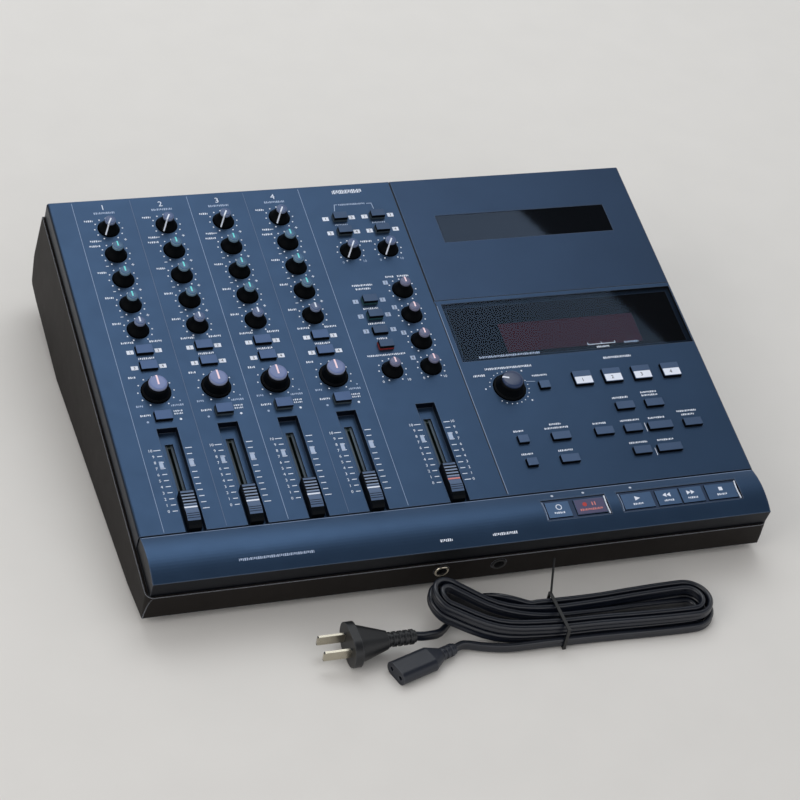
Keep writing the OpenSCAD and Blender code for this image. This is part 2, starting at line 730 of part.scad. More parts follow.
module tape_mechanism() {
    head_v = well[0].y + 4;
    color([0.62, 0.63, 0.65])
        on_panel() {
            difference() {
                union() {
                    slab([lid_u + 17.6, lid_v + 4.7, chassis_w - chassis_t], [panel_w - 16, panel_l - 9.5, chassis_w]);
                    for (at = reel_at)
                        post(at, 4.5, chassis_w - reel_bush_l, chassis_w - chassis_t);
                    post(capstan_at, 4.5, flywheel_w[1] + seat_gap, chassis_w - chassis_t);
                }
                for (at = reel_at)
                    post(at, reel_shaft_r + run_gap, chassis_w - reel_bush_l - 1, chassis_w + 1);
                post(capstan_at, capstan_r + run_gap, flywheel_w[1] - 1, chassis_w + 1);
            }
            for (at = mount_at)
                post(at, 3, chassis_w, tray_w - tray_t);
            // Head bridge with its record head, erase head and tape guide.
            slab([bay_u - 20, head_v - 3, chassis_w], [bay_u + 20, head_v + 1, chassis_w + 2.5]);
            slab([bay_u - 6, head_v - 2.5, chassis_w + 2.5], [bay_u + 6, head_v + 2.5, chassis_w + 10]);
            slab([bay_u - 18, head_v - 2.5, chassis_w + 2.5], [bay_u - 11, head_v + 2, chassis_w + 9]);
            post([bay_u + 14, head_v], 1.5, chassis_w + 2.5, chassis_w + 10);
            // Pinch roller on its arm.
            slab([capstan_at[0] - 3, capstan_at[1] - 17, chassis_w], [capstan_at[0] + 20, capstan_at[1] - 11, chassis_w + 2]);
            post(capstan_at - [0, 14], 6, chassis_w + 2, chassis_w + 10);
            // Capstan motor, hung from the chassis, with its pulley.
            post(motor_at, motor_r, flywheel_w[0] - 18, flywheel_w[0] - 1);
            for (x = [-11, 11])
                post(motor_at + [x, 0], 2, flywheel_w[0] - 1, chassis_w - chassis_t);
            post(motor_at, pulley_r, flywheel_w[0] + 0.5, flywheel_w[1]);
            post(motor_at, 1, flywheel_w[0] - 1, flywheel_w[0] + 0.5);
            // Drive belt round the flywheel and the pulley.
            difference() {
                belt_loop(seat_gap + belt_t, flywheel_w[0] + 1, flywheel_w[1] - 1);
                belt_loop(seat_gap, flywheel_w[0], flywheel_w[1]);
            }
        }
}
// ---------------------------------------------------------------- power supply
transformer = [56, 46, 34];
transformer_at = [80.5 - panel_w / 2, 40];
module power_supply() {
    size = transformer;
    color([0.35, 0.34, 0.33])
        translate([transformer_at.x - size.x / 2, transformer_at.y - size.y / 2, case_floor_z]) {
            cube([size.x, size.y, 2]);
            translate([4, 8, 2])
                cube([size.x - 8, size.y - 16, size.z - 2]);
            translate([12, 2, 6])
                cube([size.x - 24, size.y - 4, size.z - 12]);
            translate([size.x + 6, 0, 0])
                cube([50, size.y, 1.6]);
            translate([size.x + 18, 14, 1.6])
                cylinder(r = 8, h = 26);
            translate([size.x + 38, 30, 1.6])
                cylinder(r = 8, h = 26);
        }
}
// ---------------------------------------------------------------- sockets
ring_out = 0.8;
rca_r = 4.1;
rca_out = 7;
inlet_cavity = [15.4, 8.6];
inlet_l = 18;
rear_plate_t = 2;
module jack(x, z, y0, out) {
    translate([x, y0 - out, z])
        rotate([-90, 0, 0])
            difference() {
                cylinder(r = jack_ring_r, h = jack_l);
                translate([0, 0, -1])
                    cylinder(r = jack_bore_r, h = jack_l);
            }
}
module jack_sockets() {
    color([0.55, 0.53, 0.50]) {
        on_front() {
            for (x = front_jack_x) {
                jack(x, front_jack_z, 0, ring_out);
                // Flange behind the wall.
                difference() {
                    translate([x - 7, case_wall, front_jack_z - 5.5])
                        cube([14, jack_l - case_wall - ring_out, 11]);
                    translate([x, 0, front_jack_z])
                        rotate([-90, 0, 0])
                            cylinder(r = jack_ring_r - 0.5, h = jack_l * 2);
                }
            }
        }
        on_back()
            rear_plate();
    }
}
module rear_plate() {
    y1 = -case_wall;
    holes_r = jack_ring_r - 0.5;
    difference() {
        translate([rear_window_x - rear_window[0] / 2 - 4, y1 - rear_plate_t, rear_z - rear_window[1] / 2 - 4])
            cube([rear_window[0] + 8, rear_plate_t, rear_window[1] + 8]);
        for (x = rear_jack_x)
            translate([x, y1 - 10, rear_z])
                rotate([-90, 0, 0])
                    cylinder(r = holes_r, h = 20);
        translate([inlet_x - inlet_cavity[0] / 2, y1 - 10, rear_z - inlet_cavity[1] / 2])
            cube([inlet_cavity[0], 20, inlet_cavity[1]]);
    }
    for (x = rear_jack_x)
        rotate([0, 0, 180])
            jack(-x, rear_z, -y1, ring_out);
    for (x = rear_rca_x)
        translate([x, y1, rear_z])
            rotate([-90, 0, 0])
                difference() {
                    cylinder(r = rca_r, h = rca_out);
                    translate([0, 0, 0.5])
                        cylinder(r = 1.65, h = rca_out);
                }
    difference() {
        translate([inlet_x - 12, y1 - rear_plate_t - inlet_l, rear_z - 8])
            cube([24, inlet_l, 16]);
        translate([inlet_x - inlet_cavity[0] / 2, y1 - rear_plate_t - 12, rear_z - inlet_cavity[1] / 2])
            cube([inlet_cavity[0], 20, inlet_cavity[1]]);
    }
    for (x = [-4.3, 4.3])
        translate([inlet_x + x, y1 - rear_plate_t - 12.5, rear_z])
            rotate([-90, 0, 0])
                cylinder(r = 1.2, h = 11);
}
// ---------------------------------------------------------------- mains cord
// The flat two-core cord stands on its edge in every loop. Positions are in
// the row frame, on the table in front of the recorder.
hank_y = -193;
tie_x = 44;
hank_left_x = -24;
hank_right_x = 132;
hank_end_r = 7;
waist_half = 4;
hank_step = cord_t + 1.4;
hank_pull_in = 1.5;
layer_rise = cord_w + 0.8;
floor_gap = 0.2;
tie_lift = 1.5;
left_lift = 12;
end_x = 34;
end_run = 4.5;
loop_rings = 24;
half_layer = 2 * loop_rings;
climb_ring = half_layer + 10;
climbed_ring = half_layer + 14;
last_ring = 4 * loop_rings + 13;
turn_steps = 7;
run_x = [end_x, 70, 104];
bend_start = 8;
bend_end = 58;
bend_angle = 28;
bend_r = (bend_end - bend_start) / (bend_angle * PI / 180);

// Where ring k of a loop lies: its distance along the hank and, on a round
// end, the angle round that end's middle.
function station(k) =
    k < 3 ? [run_x[k], -90] :
    k < 4 + turn_steps ? [hank_right_x, -90 + (k - 3) * 180 / turn_steps] :
    k < 7 + turn_steps ? [run_x[6 + turn_steps - k], 90] :
    k < 8 + turn_steps ? [5, 90] :
    k < 9 + 2 * turn_steps ? [hank_left_x, 90 + (k - 8 - turn_steps) * 180 / turn_steps] : [5, 270];
function spiral(i) =
    i < half_layer ? hank_step * (2 - i / loop_rings) :
    i < climb_ring ? -hank_pull_in * (i - half_layer) / (climb_ring - half_layer) :
    i < climbed_ring ? -hank_pull_in :
    -hank_pull_in + hank_step * (i - climbed_ring) / loop_rings;
function climb(i) = layer_rise * min(1, max(0, (i - climb_ring) / (climbed_ring - climb_ring)));
// Share of the waist's narrowing at x: 1 at the tie and 0 at the round ends.
function narrowing(x) = pow(cos(90 * (x < tie_x ? (tie_x - x) / (tie_x - hank_left_x)
                                                : (x - tie_x) / (hank_right_x - tie_x))), 2);
// The hank's left part swings back towards the case.
function swing(d) = d < bend_start ? [tie_x - d, 0, 0] :
    let (a = min(bend_angle, (d - bend_start) / bend_r * 180 / PI))
    let (rest = max(0, d - bend_end))
    [tie_x - bend_start - bend_r * sin(a) - rest * cos(a), bend_r * (1 - cos(a)) + rest * sin(a), a];
function cord_height(x) =
    cord_w / 2 + floor_gap + tie_lift * exp(-pow((x - tie_x) / 18, 2))
    + (x < tie_x ? left_lift * pow((tie_x - x) / (tie_x - hank_left_x), 2) : 0);
function hank_point(i) =
    let (at = station(i % loop_rings), s = spiral(i), w = narrowing(at[0]))
    let (r = hank_end_r + s, side = (1 - w) * r + w * (waist_half + s))
    let (x = at[0] + r * cos(at[1]), y = side * sin(at[1]))
    let (m = swing(tie_x - x))
    [m[0] + y * sin(m[2]), hank_y + m[1] + y * cos(m[2]), cord_height(x) + climb(i)];
hank_first = hank_point(0);
hank_last = hank_point(last_ring);
hank_route = concat(
    [hank_first - [end_run, 0, 0]],
    [for (i = [0:last_ring]) hank_point(i)],
    [hank_last - [end_run, 0, 0]]);
// Loose routes from the hank's two ends to the connector and to the plug.
plug_exit = [-48, -193, 11];
connector_mouth = [-66, -214, 4.6];
connector_angle = 17.5;
connector_l = 43;
connector_exit = connector_mouth + connector_l * [cos(connector_angle), sin(connector_angle), 0];
connector_route = [
    connector_exit,
    connector_exit + 7 * [cos(connector_angle), sin(connector_angle), 0],
    [-6, -202.5, 4.2], [8, -205.5, 4.2], hank_route[0] - [end_run, 0, 0], hank_route[0]
];
plug_route = [
    plug_exit, plug_exit + [7, 0, -1], [-29, -188, 6], [-14, -173, 3.6], [-3, -166, 4], [5, -169, 10],
    [13, -174.6, 14.2], [21, -178, 13.8], hank_last - [end_run, 0, 0]
];
// Six-sided section of the cord, across and up.
cord_section = [[0.5, 0.25], [0, 0.5], [-0.5, 0.25], [-0.5, -0.25], [0, -0.5], [0.5, -0.25]];
function heading(p, i, ends) =
    i == 0 ? ends[0] : i == len(p) - 1 ? ends[1] : unit(unit(p[i + 1] - p[i]) + unit(p[i] - p[i - 1]));
function ring(p, i, ends) =
    let (t = heading(p, i, ends), side = unit(cross(t, [0, 0, 1])), up = cross(side, t))
    [for (c = cord_section) p[i] + side * c[0] * cord_t + up * c[1] * cord_w];
// One unbroken tube along a route; ends holds its heading at each end.
module cord_tube(p, ends) {
    n = len(cord_section);
    last = len(p) - 1;
    points = [for (i = [0:last]) each ring(p, i, ends)];
    sides = [for (i = [0:last - 1]) for (k = [0:n - 1])
        let (a = i * n + k, b = i * n + (k + 1) % n)
        each [[a, b, b + n], [a, b + n, a + n]]];
    caps = [for (k = [1:n - 2]) each [[0, k + 1, k], [last * n, last * n + k, last * n + k + 1]]];
    polyhedron(points, concat(sides, caps));
}
// Least gap between strands of the hank that are at least half a loop apart.
hank_rings = [for (i = [0:len(hank_route) - 1]) ring(hank_route, i, [[1, 0, 0], [-1, 0, 0]])];
hank_gap = min([for (i = [0:len(hank_rings) - 1])
    for (j = [i + loop_rings / 2:1:len(hank_rings) - 1])
        if (norm(hank_route[i] - hank_route[j]) < 2 * cord_w)
            min([for (a = hank_rings[i]) for (b = hank_rings[j]) norm(a - b)])]);
module cord_hank() {
    echo(least_gap_in_hank_mm = hank_gap);
    color([0.07, 0.09, 0.13])
        cord_tube(hank_route, [[1, 0, 0], [-1, 0, 0]]);
}
module cord_leads() {
    out = [cos(connector_angle), sin(connector_angle), 0];
    color([0.07, 0.09, 0.13]) {
        cord_tube(connector_route, [out, [1, 0, 0]]);
        cord_tube(plug_route, [[1, 0, 0], [1, 0, 0]]);
    }
}
tie_half = waist_half + 2 * hank_step + cord_t / 2 + 0.5;
tie_top = 2 * cord_w + 0.8 + floor_gap + tie_lift + 0.6;
tie_t = 0.8;
tie_w = 2;
tie_bottom = 0.1;
module cord_tie() {
    color([0.03, 0.03, 0.03])
        translate([tie_x, hank_y, 0]) {
            difference() {
                translate([-tie_w / 2, -tie_half - tie_t, tie_bottom])
                    cube([tie_w, 2 * (tie_half + tie_t), tie_top + tie_t - tie_bottom]);
                translate([-tie_w, -tie_half, tie_bottom + tie_t])
                    cube([2 * tie_w, 2 * tie_half, tie_top - tie_bottom - tie_t]);
            }
            // Twisted tail of the wire tie.
            translate([0, tie_half - 1, tie_top + tie_t / 2])
                rotate([-68, 0, -22])
                    cylinder(r = 0.7, h = 24);
        }
}
plug_flange_l = 5;
plug_body_l = 20;
plug_relief_l = 17;
blade = [17, 1.5, 6.3];
blade_pitch = 12.7;
relief_r = 4.6;
// A stadium section of y and z, w wide and h high, l long from x = 0.
module stadium(w, h, l) {
    rotate([90, 0, 90])
        linear_extrude(l) {
            square([w - h, h], center = true);
            for (side = [-1, 1])
                translate([side * (w - h) / 2, 0])
                    circle(d = h);
        }
}
module mains_plug() {
    color([0.05, 0.055, 0.065])
        translate(plug_exit - [plug_relief_l + plug_body_l + plug_flange_l, 0, 0]) {
            stadium(30, 20, plug_flange_l);
            hull() {
                translate([plug_flange_l, 0, 0])
                    stadium(25, 17, 1);
                translate([plug_flange_l + plug_body_l - 2, 0, 0])
                    stadium(12, 9.2, 1);
            }
            translate([plug_flange_l + plug_body_l - 1, 0, 0])
                rotate([0, 90, 0])
                    cylinder(r = relief_r - 0.9, h = plug_relief_l + 1);
            for (i = [0:4])
                translate([plug_flange_l + plug_body_l - 1 + i * 3.6, 0, 0])
                    rotate([0, 90, 0])
                        cylinder(r = relief_r, h = 2);
            for (side = [-1, 1])
                translate([-blade[0], side * blade_pitch / 2 - blade[1] / 2, -blade[2] / 2])
                    cube(blade + [1, 0, 0]);
        }
}
module mains_connector() {
    body_l = 25;
    socket_pitch = 8.6;
    color([0.06, 0.075, 0.11])
        translate(connector_mouth)
            rotate([0, 0, connector_angle]) {
                difference() {
                    union() {
                        stadium(17, 9, body_l);
                        hull() {
                            translate([body_l - 0.5, 0, 0])
                                stadium(17, 9, 0.5);
                            translate([body_l + 7, 0, 0])
                                stadium(9, 7, 0.5);
                        }
                    }
                    for (side = [-1, 1])
                        translate([-1, side * socket_pitch / 2, 0])
                            rotate([0, 90, 0])
                                cylinder(r = 1.4, h = 12);
                }
                translate([body_l + 7, 0, 0])
                    rotate([0, 90, 0])
                        cylinder(r = 3.4, h = connector_l - body_l - 7);
                for (i = [0:2])
                    translate([body_l + 8 + i * 3.2, 0, 0])
                        rotate([0, 90, 0])
                            cylinder(r = 4, h = 1.8);
            }
}
// ---------------------------------------------------------------- nodes
function channel_names(kind) = [for (i = [1:CHANNELS]) str("knob_", kind, "_", i)];

lower_case();
top_panel();
front_fascia();
display_window();
circuit_boards();
tape_mechanism();
power_supply();
jack_sockets();
feet();
cassette_lid();
lid_window();
for (row = [0:len(ROWS) - 1])
    for (i = [0:CHANNELS - 1])
        channel_knob(row, i);
for (i = [0:CHANNELS - 1])
    pan_knob([channel_u[i], pan_v]);
for (i = [0:CHANNELS - 1])
    small_knob(cue_at[i], 0);
small_knob(aux_return_at[0], gain_angle);  // knob_aux_return_1
small_knob(aux_return_at[1], gain_angle);  // knob_aux_return_2
small_knob(monitor_at, 0);  // knob_monitor
pitch_knob();  // knob_pitch
for (i = [0:CHANNELS - 1])
    fader(i);
fader(CHANNELS);  // fader_master
channel_buttons();
master_buttons();
deck_buttons();
transport_buttons();
reel(reel_at[0]);  // reel_supply
reel(reel_at[1]);  // reel_takeup
capstan_flywheel();
mains_plug();
mains_connector();
cord_leads();
cord_hank();
cord_tie();
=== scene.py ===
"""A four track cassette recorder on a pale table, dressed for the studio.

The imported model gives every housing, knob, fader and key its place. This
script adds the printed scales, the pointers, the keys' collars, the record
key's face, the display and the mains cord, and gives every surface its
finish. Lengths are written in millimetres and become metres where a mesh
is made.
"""

from __future__ import annotations

import json
import logging
import math
from dataclasses import dataclass, field
from enum import Enum
from functools import partial
from typing import Callable, Iterable, Sequence

import bmesh
import bpy
from mathutils import Matrix, Vector

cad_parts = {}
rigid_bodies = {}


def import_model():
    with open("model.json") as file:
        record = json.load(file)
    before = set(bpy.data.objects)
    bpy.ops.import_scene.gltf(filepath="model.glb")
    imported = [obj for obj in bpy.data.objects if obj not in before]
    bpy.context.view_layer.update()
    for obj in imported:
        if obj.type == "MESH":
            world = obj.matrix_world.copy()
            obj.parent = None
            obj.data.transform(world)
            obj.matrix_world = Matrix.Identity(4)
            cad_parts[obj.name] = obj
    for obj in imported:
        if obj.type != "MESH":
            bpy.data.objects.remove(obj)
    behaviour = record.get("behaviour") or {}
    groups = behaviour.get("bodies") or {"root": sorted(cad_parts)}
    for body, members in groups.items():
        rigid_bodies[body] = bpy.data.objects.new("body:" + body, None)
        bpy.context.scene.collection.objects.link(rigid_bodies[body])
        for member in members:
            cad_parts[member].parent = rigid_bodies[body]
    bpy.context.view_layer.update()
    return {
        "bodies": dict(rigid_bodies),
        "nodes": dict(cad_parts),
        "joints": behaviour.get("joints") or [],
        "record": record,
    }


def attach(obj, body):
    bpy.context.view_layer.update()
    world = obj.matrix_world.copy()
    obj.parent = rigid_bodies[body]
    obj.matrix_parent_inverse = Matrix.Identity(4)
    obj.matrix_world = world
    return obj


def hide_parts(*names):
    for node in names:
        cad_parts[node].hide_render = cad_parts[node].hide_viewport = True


LOG = logging.getLogger("recorder")
MM = 0.001

Point = tuple[float, float, float]
Flat = tuple[float, float]
Colour = tuple[int, int, int]
Placer = Callable[[float, float, float], Vector]


# ------------------------------------------------------------------ places
@dataclass(frozen=True)
class PanelFrame:
    """The tilted control panel: u to the right, v up the slope, w off it."""

    width: float = 401.0
    seam_y: float = -120.6457
    seam_z: float = 45.2
    tilt: float = math.radians(11.0)
    fascia_length: float = 33.2
    fascia_crown: float = 2.8

    def point(self, u: float, v: float, w: float) -> Vector:
        """Return a panel point in the row frame, in metres.

        Args:
            u: Place across the panel.
            v: Place up the slope.
            w: Height over the panel's face.

        Returns:
            The point in metres.
        """
        cos, sin = math.cos(self.tilt), math.sin(self.tilt)
        y, z = self.seam_y + v * cos - w * sin, self.seam_z + v * sin + w * cos
        return Vector((u - self.width / 2, y, z)) * MM

    def matrix(self, u: float, v: float, w: float, turn: float = 0.0) -> Matrix:
        """Return the frame at a panel point, turned clockwise by degrees.

        Args:
            u: Place across the panel.
            v: Place up the slope.
            w: Height over the panel's face.
            turn: Degrees clockwise.

        Returns:
            The frame as a matrix.
        """
        return (
            Matrix.Translation(self.point(u, v, w))
            @ Matrix.Rotation(self.tilt, 4, "X")
            @ Matrix.Rotation(-math.radians(turn), 4, "Z")
        )

    def crown(self, v: float) -> float:
        """Return the height of the crowned fascia at v, which is below 0."""
        t = -v / self.fascia_length
        return -0.5 + (self.fascia_crown + 0.5) * (1 - (2 * t - 1) ** 2)

    def on_fascia(self, u: float, v: float, w: float) -> Vector:
        """Return a point that lies w above the fascia's crowned top."""
        return self.point(u, v, self.crown(v) + w)


PANEL = PanelFrame()
CHANNELS = (34.8, 72.8, 110.8, 148.8)
MASTER_FADER = 201.0
ROOT = "recorder"


# ---------------------------------------------------------------- finishes
def linear(channel: float) -> float:
    """Turn one screen value from 0 to 255 into linear light."""
    c = channel / 255
    return c / 12.92 if c <= 0.04045 else ((c + 0.055) / 1.055) ** 2.4


def rgba(colour: Colour, share: float = 1.0) -> tuple[float, ...]:
    """Return a screen colour in linear light, made lighter by a share."""
    return (*[linear(c) * share for c in colour], 1.0)


def wired(
    tree: bpy.types.NodeTree,
    kind: str,
    inputs: dict[str | int, object],
    **settings: str | int,
) -> bpy.types.Node:
    """Add a shader node, set it up and feed its inputs.

    Args:
        tree: The node tree of a material or of the room.
        kind: The node's type without its prefix.
        inputs: For each input, the socket to link or the value to set.
        settings: The node's own settings, which decide its sockets.

    Returns:
        The new node.
    """
    node = tree.nodes.new(f"ShaderNode{kind}")
    for name, value in settings.items():
        setattr(node, name, value)
    for name, value in inputs.items():
        if isinstance(value, bpy.types.NodeSocket):
            tree.links.new(value, node.inputs[name])
        else:
            node.inputs[name].default_value = value
    return node


@dataclass(frozen=True)
class Surface:
    """What all finishes share: sizes in millimetres, shares and cosines."""

    wander: float = 38.0
    wander_range: float = 0.22
    smear: float = 9.0
    gloss_most: float = 0.05
    gloss_share: float = 0.3
    # Cosines between which faces turned from the panel take their painted side light.
    side_cosine: float = 0.75
    top_cosine: float = 0.9
    # Radius factor, least edge, cosine and colour of the painted highlight along rounded edges.
    worn_radius: float = 1.6
    worn_edge: float = 0.3
    worn_cosine: float = 0.86
    worn_colour: tuple[float, float, float, float] = (0.62, 0.66, 0.74, 1.0)
    bump: float = 0.35
    bevel_samples: int = 4


SURFACE = Surface()


@dataclass(frozen=True)
class Finish:
    """A moulded, painted or printed surface.

    The colour is as it looks on screen. The grain is the size of the fine
    texture, the mottle how far the colour wanders over the surface, and the
    edge the radius to which light sees the corners rounded. Faces that turn
    away from the panel can take painted light: painted shade on walls and on
    the sides of keys and faders, a painted highlight on the rims of the knob
    caps. Edges can take a painted highlight as well.
    """

    name: str
    colour: Colour
    roughness: float = 0.5
    metallic: float = 0.0
    grain: float = 0.6
    depth: float = 0.02
    mottle: float = 0.06
    edge: float = 0.0
    specular: float = 0.5
    specular_tint: tuple[float, float, float] = (1.0, 1.0, 1.0)
    alpha: float = 1.0
    edge_lift: float = 0.0
    side_colour: Colour | None = None

    def build(self) -> bpy.types.Material:
        """Make the node material, once for each name.

        Returns:
            The material, taken from the file if it is there already.
        """
        found = bpy.data.materials.get(self.name)
        if found:
            return found
        material = bpy.data.materials.new(self.name)
        material.use_nodes = True
        material.diffuse_color = rgba(self.colour)
        tree = material.node_tree
        shader = tree.nodes["Principled BSDF"]
        shader.inputs["Metallic"].default_value = self.metallic
        shader.inputs["Specular IOR Level"].default_value = self.specular
        shader.inputs["Specular Tint"].default_value = (*self.specular_tint, 1.0)
        shader.inputs["Alpha"].default_value = self.alpha
        place = wired(tree, "TexCoord", {}).outputs["Object"]
        tree.links.new(self._mottled(tree, place), shader.inputs["Base Color"])
        tree.links.new(self._smeared(tree, place), shader.inputs["Roughness"])
        tree.links.new(self._grained(tree, place), shader.inputs["Normal"])
        return material

    def _noise(
        self, tree: bpy.types.NodeTree, place: bpy.types.NodeSocket, size: float, detail: float
    ) -> bpy.types.NodeSocket:
        """Add noise of a size in millimetres and return its socket."""
        noise = wired(tree, "TexNoise", {"Vector": place, "Scale": 1 / (size * MM), "Detail": detail})
        return noise.outputs["Fac"]

    def _mottled(self, tree: bpy.types.NodeTree, place: bpy.types.NodeSocket) -> bpy.types.NodeSocket:
        """Let the colour wander a little, lay painted light on the sides that turn from the panel and a
        painted highlight on the edges.

        Args:
            tree: The material's node tree.
            place: The socket with the place on the surface.

        Returns:
            The socket with the colour.
        """
        ramp = wired(tree, "ValToRGB", {"Fac": self._noise(tree, place, SURFACE.wander, 3.0)})
        for stop, side in zip(ramp.color_ramp.elements, (-1, 1)):
            stop.position = 0.5 + side * SURFACE.wander_range
            stop.color = rgba(self.colour, 1 + side * self.mottle)
        colour = ramp.outputs["Color"]
        # Painted light on faces turned away from the panel: shade on most finishes, a highlight on the knob
        # caps' rims.
        if self.side_colour:
            above = (0, -math.sin(PANEL.tilt), math.cos(PANEL.tilt))
            share = self._facing(tree, above, (SURFACE.side_cosine, SURFACE.top_cosine), 1.0)
            colour = self._mixed(tree, share, rgba(self.side_colour), colour)
        # A painted highlight along the rounded edges, in a pale bluish colour.
        if self.edge_lift:
            highlight_normal = self._bevel(tree, max(self.edge, SURFACE.worn_edge) * SURFACE.worn_radius)
            share = self._facing(tree, highlight_normal, (1.0, SURFACE.worn_cosine), self.edge_lift)
            colour = self._mixed(tree, share, colour, SURFACE.worn_colour)
        return colour

    def _smeared(self, tree: bpy.types.NodeTree, place: bpy.types.NodeSocket) -> bpy.types.NodeSocket:
        """Let the gloss vary over the surface.

        Args:
            tree: The material's node tree.
            place: The socket with the place on the surface.

        Returns:
            The socket with the roughness.
        """
        spread = min(SURFACE.gloss_most, SURFACE.gloss_share * self.roughness)
        gloss = {
            "Value": self._noise(tree, place, SURFACE.smear, 4.0),
            "To Min": self.roughness - spread,
            "To Max": self.roughness + spread,
        }
        return wired(tree, "MapRange", gloss).outputs["Result"]

    def _grained(self, tree: bpy.types.NodeTree, place: bpy.types.NodeSocket) -> bpy.types.NodeSocket:
        """Give the surface its fine grain and its rounded corners.

        Args:
            tree: The material's node tree.
            place: The socket with the place on the surface.

        Returns:
            The socket with the normal.
        """
        inputs = {
            "Strength": SURFACE.bump,
            "Distance": self.depth * MM,
            "Height": self._noise(tree, place, self.grain, 2.0),
        }
        if self.edge:
            inputs["Normal"] = self._bevel(tree, self.edge)
        return wired(tree, "Bump", inputs).outputs["Normal"]

    def _bevel(self, tree: bpy.types.NodeTree, radius: float) -> bpy.types.NodeSocket:
        """Return the normal with the corners rounded to a radius."""
        return wired(tree, "Bevel", {"Radius": radius * MM}, samples=SURFACE.bevel_samples).outputs["Normal"]

    def _facing(
        self, tree: bpy.types.NodeTree, way: bpy.types.NodeSocket | Point, cosines: Flat, most: float
    ) -> bpy.types.NodeSocket:
        """Turn the angle between the surface and a direction into a share.

        Args:
            tree: The material's node tree.
            way: The direction, as a socket or as a value.
            cosines: The cosines at which the share is nothing and is full.
            most: The full share.

        Returns:
            The socket that gives the share.
        """
        normal = wired(tree, "NewGeometry", {}).outputs["Normal"]
        along = wired(tree, "VectorMath", {0: normal, 1: way}, operation="DOT_PRODUCT").outputs["Value"]
        steps = {"Value": along, "From Min": cosines[0], "From Max": cosines[1], "To Max": most}
        return wired(tree, "MapRange", steps).outputs["Result"]

    def _mixed(
        self, tree: bpy.types.NodeTree, share: bpy.types.NodeSocket, low: object, high: object
    ) -> bpy.types.NodeSocket:
        """Blend from one colour to the other by a share."""
        return wired(tree, "Mix", {"Factor": share, "A": low, "B": high}, data_type="RGBA").outputs["Result"]


painted = partial(Finish, metallic=0.75, specular=0.2, grain=0.35, mottle=0.05)
capped = partial(Finish, specular=0.4, grain=0.3, depth=0.01, mottle=0.1)
pressed = partial(Finish, grain=0.35, edge=0.2)
ribbed = partial(Finish, grain=0.4, mottle=0.08)
glazed = partial(Finish, roughness=0.03, grain=2.0, depth=0.0002, mottle=0.05, edge=0.2)
moulded = partial(Finish, grain=0.5, depth=0.03, mottle=0.12)
plated = partial(Finish, metallic=0.9, grain=0.3, depth=0.01, mottle=0.08, edge=0.2)
printed = partial(Finish, grain=0.4, depth=0.005, mottle=0.04)


